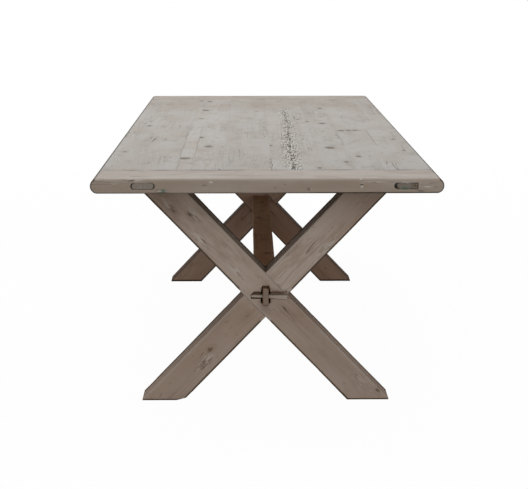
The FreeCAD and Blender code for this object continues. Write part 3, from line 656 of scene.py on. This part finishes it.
for count, tone in PLANK_TONES.items():
    low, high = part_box(f"top_plank_{count}")
    centre = ((low.x + high.x) / 2, 0, TOP_Z)
    half = ((high.x - low.x) / 2, PLANK_END, HALF_TOP)
    across = rows(half[0], 8, THIN + ROUND)
    scarred = [x * MM for x, *_ in SCARS if low.x < x * MM < high.x]
    for x in scarred:
        reach = x - centre[0]
        across += places_between(max(reach - 0.04, -half[0]), min(reach + 0.04, half[0]), 2.5 * MM)
    along = rows(PLANK_END, 5 if scarred else 9, THIN)
    tenoned = high.y > PLANK_END + 50 * MM
    through = rows(9 * MM, 3) if tenoned else []
    knots = [(x - centre[0] / MM, y, size, stretch) for x, y, size, stretch in KNOTS[count]]
    material = timber_material(f"bleached_pine_plank_{count}", "bleached_pine", half, count, knots,
                               tone)
    piece = worn_piece(f"top_plank_{count}", f"worn_plank_{count}", material, AXES["lengthwise"],
                       centre, half, (across, along, near_ends(HALF_TOP, THIN) + through),
                       0.1, 0.5, seed=count, shape=top_shape(centre), flush=True)
    fit_out(piece, "table", "top_boards", f"top_plank_{count}")
    print(piece.name, len(piece.data.polygons), "faces")

# %% [markdown]
# ## End boards, repairs and wedges
# The end boards run across the planks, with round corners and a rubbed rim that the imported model
# already has. Two repairs are let into the top: their seams are real gaps. Small wedges fill the
# slots beside the through tenons.

# %% Marks on the outer faces of the end boards
def end_shape(centre, marked):
    """Browns the outer face of an end board, and puts the marks on the front one."""
    out = np.sign(centre[1])

    def shape(local, grain):
        table = np.array(centre) + grain[:, [1, 0, 2]]
        outer = ramp(out * table[:, 1], FACE_FROM, END_FADE)
        faded = np.clip(0.62 + 0.3 * smooth_noise(table, (5, 1, 30), 14), 0, 1)
        scar, paint = front_marks(table)
        for x, height, wide, tall, depth in NICKS if marked else ():
            hole = near(table, x, height, wide, tall) * outer
            local[:, 0] -= out * depth * MM * hole
            scar = np.maximum(scar, hole)
        return {"stain_and_shade": np.maximum(outer * faded, unscrubbed(table)), "scar": scar,
                "paint": paint, "grime_and_shade": dirt_and_painted_shade(table)}
    return shape


print(len(NICKS), "nicks,", len(SPECKS), "specks and", len(ROUGH), "rough places")

# %% Make the end boards
for index, end in enumerate(("front", "rear")):
    low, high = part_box(f"end_board_{end}")
    centre = (low + high) / 2
    half = ((high.y - low.y) / 2, high.x, HALF_TOP)
    material = timber_material(f"end_pine_{end}", "end_pine", half, 11 + index)
    across, along = rows(half[0], 8, THIN), rows(half[1], 9, THIN + ROUND)
    if end == "front":
        for x, _, wide, *_ in NICKS:
            along += [(x + step * wide) * MM for step in (-1.5, -1, -0.5, 0, 0.5, 1, 1.5)]
    piece = worn_piece(f"end_board_{end}", f"worn_end_board_{end}", material, AXES["crosswise"],
                       centre, half, (across, along, rows(HALF_TOP, 3.2)),
                       0.45, 0.5, seed=20 + index, shape=end_shape(centre, end == "front"))
    fit_out(piece, "table", "end_boards", f"end_board_{end}")
    print(piece.name, len(piece.data.polygons), "faces")

# %% Make the repairs and the tenon wedges
SMALL = {
    # node: (name, finish, slot, arris radius, seed, tone)
    "patch_strip": ("let_in_strip", "bleached_pine", "top_boards", 0.8, 31, 1.05),
    "patch_board": ("let_in_board", "bleached_pine", "top_boards", 0.8, 33, 0.97),
    "tenon_wedge_front": ("driven_wedge_front", "key_wood", "end_boards", 0.7, 35, 0.8),
    "tenon_wedge_rear": ("driven_wedge_rear", "key_wood", "end_boards", 0.7, 36, 0.8),
}
FINE = (0.3, 0.6, 1.0, 2.0)
for node, (name, finish, slot, arris, seed, tone) in SMALL.items():
    low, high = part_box(node)
    centre = (low + high) / 2
    half = (high - low) / 2
    knots = []
    if node == "patch_board":
        knots = [(x - centre.x / MM, y - centre.y / MM, size, stretch)
                 for x, y, size, stretch in KNOTS[6][:3] if y / 1000 < high.y]
    cuts = (rows(half.x, 8, FINE), rows(half.y, 9, FINE), near_ends(half.z, FINE))
    material = timber_material(f"{finish}_{name}", finish, tuple(half), seed, knots, tone)
    piece = worn_piece(node, name, material, AXES["lengthwise"], centre, half, cuts, arris, 0.3,
                       True, seed, top_shape(centre))
    fit_out(piece, "table", slot, node)
print("repairs and wedges:", ", ".join(SMALL))

# %% [markdown]
# ## The crossed beams
# Each beam leans at the same slope. Its grain runs up that slope, so its local frame is turned to
# match: along is up the beam, across is square to it, and depth runs through the trestle.

# %% Make the four beams
LEG_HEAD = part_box("cleat_front")[0].z
LEG_SPREAD = 663 * MM   # how far a beam's head stands from its foot, across the table
SLOPE = math.atan2(LEG_HEAD, LEG_SPREAD)
foot_low, foot_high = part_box("leg_front_left")
bar_low, bar_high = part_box("stretcher")
CROSSING_Z = (bar_low.z + bar_high.z) / 2
TRESTLE_FACE = -foot_low.y
# Half the beam's width, a reach past both its ends, and half its depth.
BEAM_HALF = (50 * MM, 0.6, (foot_high.y - foot_low.y) / 2)
WORN = (0.8, 1.8, 3.2, 5.0, 7.5)
SOLE_CUTS = [height * MM for height in (3, 5, 6, 10)]   # heights that the soles' dirt fades between
# Knots on each beam: across (+ is its upper edge), along from the crossing (+ is up), radius and
# stretch.
BEAM_KNOTS = {
    "front_left": [(5, -252, 7, 1.2), (-62, 255, 6, 3.0)],
    "front_right": [(-22, 398, 4, 2.4), (8, 352, 4, 2.6), (44, -480, 5, 1.3)],
    "rear_left": [(10, 300, 8, 1.4), (-12, -210, 7, 1.5)],
    "rear_right": [(-14, 260, 8, 1.4), (16, -330, 7, 1.6)],
}
# Rough places on the beams' outer faces: across, along, half width and half length, strength.
BEAM_ROUGH = {
    "front_left": [(-12, -290, 13, 34, 0.5), (-33, 240, 12, 60, 0.3), (-30, 40, 12, 30, 0.25)],
    "front_right": [(-19, 411, 13, 26, 0.5), (12, 345, 13, 30, 0.5), (-25, 272, 12, 38, 0.5),
                    (-14, 124, 9, 30, 0.4), (22, 190, 10, 40, 0.25), (20, -420, 14, 50, 0.2)],
}
BEAM_TONES = {"front_left": 1.05, "front_right": 1.02, "rear_left": 1.08, "rear_right": 1.11}
# How much browner each beam is all over, from 0 to 1.
BEAM_STAINS = {"front_left": -0.06, "front_right": -0.07, "rear_left": -0.35, "rear_right": 0.0}


def beam_shape(axes, middle, extra, rough, chipped):
    """Browns a beam's foot and head, the head partly as painted shade, paints shade on its flanks,
    outlines and round the key, dirties its soles and breaks the heel of a chipped one.
    """
    upward = np.array([axis[2] for axis in axes])
    sideways = np.array([axis[0] for axis in axes])

    def shape(local, grain):
        across, along, deep = grain.T
        height, x = CROSSING_Z + grain @ upward, grain @ sideways
        low = np.clip((0.02 - along) / 0.1, 0, 1)
        head = ramp(along, 0.33, 0.12)
        # The head is browned partly as stain and partly as painted shade from the top above it.
        stain_and_shade = 0.06 + 0.42 * low + 0.38 * head + extra
        stain_and_shade = stain_and_shade + 0.2 * smooth_noise(grain, (13, 5, 13), middle[1] * 9)
        # The key's recess lies well behind the outer face. Painted shade browns and darkens it, most to
        # the left of the tenon and least below the key.
        recess = (np.abs(across) < 0.045) & (np.abs(along) < 0.12)
        recess = recess & (BEAM_HALF[2] - np.abs(deep) > 4 * MM)
        stain_and_shade = np.where(recess, np.where(x > 0.066, 0.4, 1), stain_and_shade)
        recess_shade = recess * np.where(height < CROSSING_Z - 8 * MM, 0.25, np.where(x < 0, 0.6, 0.35))
        # Painted shadow, soft-edged, above the thick half of the key and below the tenon.
        soft = 0.42 * np.exp(-((x - 0.032) / 0.03) ** 2 - ((height - 0.36) / 0.009) ** 2)
        soft = soft + 0.36 * np.exp(-(x / 0.03) ** 2 - ((height - 0.3) / 0.022) ** 2)
        # Painted shade darkens the flanks, the rear beams' more, and less on the lower ends of the
        # front beams, where light reaches them. It is thick along the rear arrises and along the lower
        # edge of the face, drawing the beams' dark outlines, and lies on the rear beams' heads under
        # the top. There is dirt round the soles.
        flank = np.clip((np.abs(across) - BEAM_HALF[0]) / (6 * MM) + 1, 0, 1)
        front = middle[1] < 0
        lower_front_end = np.clip((-0.04 - along) / 0.2, 0, 1) * front
        behind = flank * np.clip((deep - BEAM_HALF[2] + 34 * MM) / (16 * MM), 0, 1)
        below = np.clip((-across - BEAM_HALF[0]) / (3 * MM) + 2.7, 0, 1) * (np.abs(along) > 0.07)
        thick = (3 if front else 5) * MM
        sole = np.clip(2 - height / thick, 0, 1)
        grime_and_shade = np.max([flank * (0.4 - 0.36 * lower_front_end if front else 0.72), recess_shade, soft,
                        0.9 * behind, 0.8 * below, 0.9 * sole, (0 if front else 0.42) * head],
                       axis=0)
        scar = along * 0
        for place, up, wide, long, strength in rough:
            apart = ((across / MM - place) / wide) ** 2 + ((along / MM - up) / long) ** 2
            scar = np.maximum(scar, strength * np.exp(-apart ** 1.5) * (deep * middle[1] > 0))
        if chipped:
            heel = x[height < 1 * MM].max()
            chip = np.clip((x - heel) / (24 * MM) + 1, 0, 1)
            chip = chip * np.clip(1 - (deep + BEAM_HALF[2]) / 0.06, 0, 1)
            lift = np.clip(6.5 * MM * chip - height, 0, None)
            local += lift[:, None] * upward
        # Inside the lap each beam's arrises lie against the other and stayed sharp.
        kept = 0.9 * np.clip((0.07 - np.abs(along)) / 0.012, 0, 1)
        return {"stain_and_shade": np.clip(stain_and_shade, 0, 1), "grime_and_shade": grime_and_shade, "scar": scar, "kept": kept}
    return shape


for index, (place, knots) in enumerate(BEAM_KNOTS.items()):
    end, hand = place.split("_")
    foot = -1 if hand == "left" else 1
    low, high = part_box(f"leg_{place}")
    centre = (0, (low.y + high.y) / 2, CROSSING_Z)
    axes = ((foot * math.sin(SLOPE), 0, math.cos(SLOPE)),
            (-foot * math.cos(SLOPE), 0, math.sin(SLOPE)), (0, 1, 0))
    cuts = (rows(BEAM_HALF[0], 9, WORN), rows(BEAM_HALF[1], 9), rows(BEAM_HALF[2], 12, WORN))
    # The rear beams take the copy of the beam pine with painted shade.
    finish = "beam_pine" if end == "front" else "painted_shade_beam_pine"
    material = timber_material(f"{finish}_{place}", finish, BEAM_HALF, 41 + index, knots,
                               BEAM_TONES[place])
    piece = worn_piece(f"leg_{place}", f"worn_beam_{place}", material, axes, centre, BEAM_HALF,
                       cuts, 2.6, 0.8, seed=41 + index,
                       shape=beam_shape(axes, centre, BEAM_STAINS[place],
                                        BEAM_ROUGH.get(place, ()), place == "front_left"),
                       levels=SOLE_CUTS)
    fit_out(piece, "table", "leg_beams", f"leg_{place}")
    print(piece.name, len(piece.data.polygons), "faces")

# %% [markdown]
# ## The stretcher and its keys
# The stretcher is one long bar whose ends are cut down to tenons that pass through the crossings.
# A tapered key through each tenon draws the joint tight, and it can be knocked out again, so each
# key rides on a body of its own. Keys get struck with a mallet: all their arrises are broken.

# %% Make the stretcher, the keys, and the battens under the top
bar_half = ((bar_high.x - bar_low.x) / 2, bar_high.y, (bar_high.z - bar_low.z) / 2)


def greyed_ends(local, grain):
    """The tenons' ends stand out in the light and have gone grey. Their flanks keep the dirt."""
    end = np.clip((np.abs(grain[:, 1]) - bar_half[1]) / (3 * MM) + 1, 0, 1)
    flank = np.clip((np.abs(grain[:, 1]) - TRESTLE_FACE + 0.1) / 0.02, 0, 1) * (1 - end)
    return {"stain_and_shade": end, "grime_and_shade": 0.6 * flank}


material = timber_material("waxed_pine_stretcher", "waxed_pine", bar_half, 51,
                           [(10, -420, 8, 1.5), (-14, 260, 9, 1.4), (4, 610, 7, 1.5)])
piece = worn_piece("stretcher", "worn_stretcher", material, AXES["lengthwise"],
                   (0, 0, CROSSING_Z), bar_half,
                   (rows(bar_half[0], 9, WORN), rows(bar_half[1], 10), rows(bar_half[2], 9, WORN)),
                   2.4, 0.7, seed=51, shape=greyed_ends)
fit_out(piece, "table", "stretcher_wood", "stretcher")

for index, end in enumerate(("front", "rear")):
    low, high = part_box(f"key_{end}")
    half = ((high.z - low.z) / 2, (high.x - low.x) / 2, (high.y - low.y) / 2)
    material = timber_material(f"key_wood_{end}", "key_wood", half, 55 + index)
    cuts = [rows(size, 4) for size in half]
    piece = worn_piece(f"key_{end}", f"tapered_key_{end}", material, AXES["upright"],
                       (low + high) / 2, half, cuts, 0.6, 0.3, seed=55 + index, bevel=1.4)
    fit_out(piece, f"{end}_key", "key_wood", f"key_{end}")

for index, node in enumerate(("cleat_front", "middle_batten", "cleat_rear")):
    low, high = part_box(node)
    half = ((high.y - low.y) / 2, high.x, (high.z - low.z) / 2)
    material = timber_material(f"waxed_pine_{node}", "waxed_pine", half, 61 + index, tone=0.9)
    cuts = (rows(half[0], 12, THIN), rows(half[1], 14), near_ends(half[2], THIN))
    piece = worn_piece(node, f"worn_{node}", material, AXES["crosswise"], (low + high) / 2, half,
                       cuts, 1.4, 0.5, seed=61 + index)
    fit_out(piece, "table", "hidden_battens", node)
print("stretcher, keys and battens made;", len(PIECES), "pieces so far")

# %% [markdown]
# ## Screws and bolts
# The same screw turns up eighteen times and the same bolt eight times, so each is drawn once, in a
# geometry node tree, and set at every place. The places are the points of a small mesh. The tree
# turns each screw by a random amount from a fixed seed, as no two slots end up in line.

# %% Steel for the fasteners
def steel_material():
    """Blackened steel: turned wire, dark with oxide and old wax in patches over greyer metal."""
    material, tree, shader = new_material("blackened_steel")
    place = add(tree, "ShaderNodeTexCoord", out="Object")
    # Oxide patches of about 4 mm, and turning marks of about 0.4 mm.
    oxide = add(tree, "ShaderNodeTexNoise", {"Vector": place, "Scale": 250.0, "Detail": 3.0})
    marks = add(tree, "ShaderNodeTexNoise", {"Vector": place, "Scale": 2500.0, "Detail": 1.0})
    patch = add(tree, "ShaderNodeMapRange", {0: oxide, 1: 0.4, 2: 0.62})
    tone = add(tree, "ShaderNodeMix", {0: patch, 6: colour("#6b6862"), 7: colour("#4a3b31")}, 2,
               data_type="RGBA")
    tree.links.new(tone, shader.inputs["Base Color"])
    rough = add(tree, "ShaderNodeMapRange", {0: oxide, 1: 0.3, 2: 0.7, 3: 0.38, 4: 0.7})
    tree.links.new(rough, shader.inputs["Roughness"])
    bump = add(tree, "ShaderNodeBump", {"Height": marks, "Strength": 0.3, "Distance": 0.1 * MM})
    tree.links.new(bump, shader.inputs["Normal"])
    shader.inputs["Metallic"].default_value = 0.85
    return material


STEEL = steel_material()
print("made", STEEL.name)

# %% The fastener tree
SCREW_HEAD = 5 * MM
HALF_TURN = 3.14159   # the most that a screw is turned by, as its slot looks the same after that
FASTENER_INPUTS = {
    "Head sides": ("Int", 24), "Head radius": ("Float", SCREW_HEAD), "Head height": ("Float", 4 * MM),
    "Slot width": ("Float", 1.2 * MM), "Slot depth": ("Float", 1.5 * MM),
    "Shank radius": ("Float", 2.5 * MM), "Shank length": ("Float", 60 * MM),
    "Tip length": ("Float", 4 * MM), "Seed": ("Int", 7), "Metal": ("Material", None),
}


def fastener_tree():
    """Sets one screw or bolt at each point. Its head's seat is at the point and its tip is above."""
    tree = bpy.data.node_groups.new("fasteners_at_points", "GeometryNodeTree")
    tree.interface.new_socket("Points", in_out="INPUT", socket_type="NodeSocketGeometry")
    for name, (kind, value) in FASTENER_INPUTS.items():
        socket = tree.interface.new_socket(name, in_out="INPUT", socket_type="NodeSocket" + kind)
        if value is not None:
            socket.default_value = value
    tree.interface.new_socket("Mesh", in_out="OUTPUT", socket_type="NodeSocketGeometry")
    given = tree.nodes.new("NodeGroupInput").outputs
    result = tree.nodes.new("NodeGroupOutput")

    # The head is a disc below the seat with a rim a little smaller, so its edge catches the light.
    head_height, radius = given["Head height"], given["Head radius"]
    face_radius = add(tree, "ShaderNodeMath", {0: radius, 1: 0.86}, operation="MULTIPLY")
    crown = add(tree, "ShaderNodeMath", {0: head_height, 1: 0.2}, operation="MULTIPLY")
    drum = add(tree, "ShaderNodeMath", {0: head_height, 1: 0.8}, operation="MULTIPLY")
    drum_place = add(tree, "ShaderNodeMath", {0: drum, 1: -0.5}, operation="MULTIPLY")
    bottom = add(tree, "ShaderNodeMath", {0: head_height, 1: -1.0}, operation="MULTIPLY")
    shank_length = add(tree, "ShaderNodeMath", {0: given["Shank length"], 1: given["Tip length"]},
                       operation="SUBTRACT")
    shank_place = add(tree, "ShaderNodeMath", {0: shank_length, 1: 0.5}, operation="MULTIPLY")
    slot_long = add(tree, "ShaderNodeMath", {0: radius, 1: 2.2}, operation="MULTIPLY")
    slot_deep = add(tree, "ShaderNodeMath", {0: given["Slot depth"], 1: 2.0}, operation="MULTIPLY")
    slot_size = add(tree, "ShaderNodeCombineXYZ", {0: slot_long, 1: given["Slot width"],
                    2: slot_deep})
    # Each shape is made at the origin and then raised or lowered to its place on the axis.
    made = {}
    for shape, kind, sizes, height in (
            ("head", "Cylinder", {"Vertices": given["Head sides"], "Radius": radius,
                                  "Depth": drum}, drum_place),
            ("cap", "Cone", {"Vertices": given["Head sides"], "Radius Top": radius,
                             "Radius Bottom": face_radius, "Depth": crown}, bottom),
            ("shank", "Cylinder", {"Vertices": 16, "Radius": given["Shank radius"],
                                   "Depth": shank_length}, shank_place),
            ("tip", "Cone", {"Vertices": 16, "Radius Top": 0.0,
                             "Radius Bottom": given["Shank radius"],
                             "Depth": given["Tip length"]}, shank_length),
            ("slot", "Cube", {"Size": slot_size}, bottom)):
        solid = add(tree, "GeometryNodeMesh" + kind, sizes)
        lift = add(tree, "ShaderNodeCombineXYZ", {2: height})
        made[shape] = add(tree, "GeometryNodeTransform", {"Geometry": solid, "Translation": lift})
    solid_head = add(tree, "GeometryNodeMeshBoolean", operation="UNION", solver="EXACT").node
    for shape in ("head", "cap"):
        tree.links.new(made[shape], solid_head.inputs["Mesh 2"])
    cut = add(tree, "GeometryNodeMeshBoolean", {"Mesh 1": solid_head.outputs[0],
              "Mesh 2": made["slot"]}, operation="DIFFERENCE", solver="EXACT")
    whole = add(tree, "GeometryNodeJoinGeometry").node
    for shape in (made["tip"], made["shank"], cut):
        tree.links.new(shape, whole.inputs[0])
    turn = add(tree, "FunctionNodeRandomValue", {"Seed": given["Seed"], 3: HALF_TURN}, 1,
               data_type="FLOAT")
    spin = add(tree, "ShaderNodeCombineXYZ", {2: turn})
    every = add(tree, "GeometryNodeInstanceOnPoints", {"Points": given["Points"],
                "Instance": whole.outputs[0], "Rotation": spin})
    real = add(tree, "GeometryNodeRealizeInstances", {0: every})
    done = add(tree, "GeometryNodeSetMaterial", {"Geometry": real, "Material": given["Metal"]})
    tree.links.new(done, result.inputs[0])
    return tree


FASTENERS = fastener_tree()
print("the fastener tree has", len(FASTENERS.nodes), "nodes")


# %% Set the screws and the bolts
def fastener_piece(name, places, turned, values):
    """One plain mesh with a fastener at each place. turned points them down instead of up."""
    points = bpy.data.meshes.new(name + "_points")
    flip = -1 if turned else 1
    points.from_pydata([(x, flip * y, flip * z) for x, y, z in places], [], [])
    carrier = put_in_scene(name + "_carrier", points)
    modifier = carrier.modifiers.new("fasteners", "NODES")
    modifier.node_group = FASTENERS
    for item in FASTENERS.interface.items_tree:
        if item.in_out == "INPUT" and item.name in values:
            modifier[item.identifier] = values[item.name]
    bpy.context.view_layer.update()
    graph = bpy.context.evaluated_depsgraph_get()
    mesh = bpy.data.meshes.new_from_object(carrier.evaluated_get(graph), depsgraph=graph)
    bpy.data.objects.remove(carrier)
    if turned:
        mesh.transform(Matrix.Rotation(math.pi, 4, "X"))
    mesh.name = name
    mesh.set_sharp_from_angle(angle=math.radians(30))
    return put_in_scene(name, mesh)


TRESTLE_MIDDLE = 0.831          # how far the middle of each trestle is from the table's middle
HEAD_SEAT = LEG_HEAD + 12 * MM  # the screws' heads sit in bores of this depth
outer_low, outer_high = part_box("plank_screws_front")
screw_places = []
for count in PLANK_TONES:
    low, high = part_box(f"top_plank_{count}")
    # A screw stands in the middle of its plank, but the outermost ones keep clear of the beams.
    x = max((low.x + high.x) / 2, outer_low.x + SCREW_HEAD)
    x = min(x, outer_high.x - SCREW_HEAD)
    screw_places += [(x, y, HEAD_SEAT) for y in (-TRESTLE_MIDDLE, 0, TRESTLE_MIDDLE)]
screws = fastener_piece("slotted_screws", screw_places, False, {"Metal": STEEL, "Seed": 7})
fit_out(screws, "table", "steel", "plank_screws_front", "plank_screws_middle", "plank_screws_rear")

HEXAGON, BOLT_HEAD = 17 * MM / math.sqrt(3), 7 * MM   # the bolt head's corner radius and its height
BOLT_SPREAD = 25 * MM                                 # half the space between two bolts of a pair
NO_SLOT = 0.0001 * MM                                 # too shallow to see: bolts have no slot
bolt_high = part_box("leg_bolts_front")[1]
bolt_places = [(x * (bolt_high.x - HEXAGON), y * TRESTLE_MIDDLE + spread * BOLT_SPREAD,
                bolt_high.z - BOLT_HEAD)
               for x in (-1, 1) for y in (-1, 1) for spread in (-1, 1)]
bolts = fastener_piece("hexagon_bolts", bolt_places, True, {
    "Metal": STEEL, "Head sides": 6, "Head radius": HEXAGON,
    "Head height": BOLT_HEAD, "Slot depth": NO_SLOT, "Shank radius": 5 * MM,
    "Shank length": 110 * MM, "Seed": 3})
fit_out(bolts, "table", "steel", "leg_bolts_front", "leg_bolts_rear")
print(len(screw_places), "screws and", len(bolt_places), "bolts")

# %% [markdown]
# ## Floor, light and camera
# The table stands on a plain pale floor under a big soft light, as in a studio. To the camera the
# floor is nearly white and still takes a soft shadow, while what it throws back on the table is
# much less, so the underside stays dark.

# %% The floor and the world
def white_to_camera(tree, dim, white):
    """Mixes two closures: the second is for camera rays and for what mirrors and glass show."""
    path = add(tree, "ShaderNodeLightPath").node
    seen = add(tree, "ShaderNodeMath", {0: path.outputs["Is Camera Ray"],
               1: path.outputs["Is Glossy Ray"]}, operation="MAXIMUM")
    seen = add(tree, "ShaderNodeMath", {0: seen, 1: path.outputs["Is Transmission Ray"]},
               operation="MAXIMUM")
    return add(tree, "ShaderNodeMixShader", {0: seen, 1: dim, 2: white})


def make_floor():
    """A wide flat floor that keeps the table's shadow and is white further out."""
    mesh = bpy.data.meshes.new("floor")
    reach = 40
    mesh.from_pydata([(-reach, -reach, 0), (reach, -reach, 0), (reach, reach, 0),
                      (-reach, reach, 0)], [], [(0, 1, 2, 3)])
    floor = put_in_scene("floor", mesh)
    material, tree, _ = new_material("pale_studio_floor")
    tree.nodes.clear()
    dim = add(tree, "ShaderNodeBsdfDiffuse", {"Color": colour("#8c8883")})
    shaded = add(tree, "ShaderNodeBsdfDiffuse", {"Color": colour("#ffffff")})
    white = add(tree, "ShaderNodeEmission", {"Color": colour("#ffffff"), "Strength": 1.0})
    # The shadow lies round the table, and from 6 m out the floor is as white as the world.
    place = add(tree, "ShaderNodeTexCoord", out="Object")
    away = add(tree, "ShaderNodeVectorMath", {0: place}, "Value", operation="LENGTH")
    share = add(tree, "ShaderNodeMapRange", {0: away, 1: 1.4, 2: 6.0, 3: 0.97, 4: 1.0},
                interpolation_type="SMOOTHSTEP")
    floor_white = add(tree, "ShaderNodeMixShader", {0: share, 1: shaded, 2: white})
    out = add(tree, "ShaderNodeOutputMaterial")
    tree.links.new(white_to_camera(tree, dim, floor_white), out.inputs["Surface"])
    mesh.materials.append(material)


def make_world():
    """White to the camera, and a much dimmer light on the table."""
    world = bpy.data.worlds.new("studio")
    bpy.context.scene.world = world
    world.use_nodes = True
    tree = world.node_tree
    tree.nodes.clear()
    dim = add(tree, "ShaderNodeBackground", {"Color": colour("#f4f3f0"), "Strength": 0.49})
    white = add(tree, "ShaderNodeBackground", {"Color": colour("#ffffff"), "Strength": 1.0})
    out = add(tree, "ShaderNodeOutputWorld")
    tree.links.new(white_to_camera(tree, dim, white), out.inputs["Surface"])


make_floor()
make_world()
print("floor and world made")

# %% Lamps
LAMPS = {
    # name: (place, aimed at, width, watts)
    "overhead_softbox": ((-0.4, 0.4, 3.6), (0, 0.3, 0.7), 3.2, 55),
    "front_fill": ((0.3, -5.8, 1.8), (0, -0.6, 0.45), 2.6, 77),
}
for name, (place, target, width, watts) in LAMPS.items():
    lamp = bpy.data.lights.new(name, "AREA")
    lamp.shape = "SQUARE"
    lamp.size = width
    lamp.energy = watts
    holder = put_in_scene(name, lamp)
    holder.location = place
    holder.rotation_euler = (Vector(target) - Vector(place)).to_track_quat("-Z", "Y").to_euler()
print("lamps:", ", ".join(LAMPS))

# %% Camera
CAMERA_PLACE = (-0.0538, -4.998, 1.3695)
LOOKS_DOWN, LOOKS_RIGHT = 11.755, 0.675   # degrees below level, and to the right of straight ahead
eye = bpy.data.cameras.new("camera")
eye.sensor_width = 36
eye.lens = 90.968
camera = put_in_scene("camera", eye)
camera.location = CAMERA_PLACE
camera.rotation_euler = (math.radians(90 - LOOKS_DOWN), 0, math.radians(-LOOKS_RIGHT))
bpy.context.scene.camera = camera
bpy.context.scene.view_settings.view_transform = "Standard"
print("the camera stands", round(-CAMERA_PLACE[1], 2), "m in front of the table's middle")

# %% [markdown]
# ## Count the triangles
# The triangles of all the dressed pieces are counted.

# %% Triangles
print("triangles:", sum(len(piece.data.loops) - 2 * len(piece.data.polygons) for piece in PIECES))
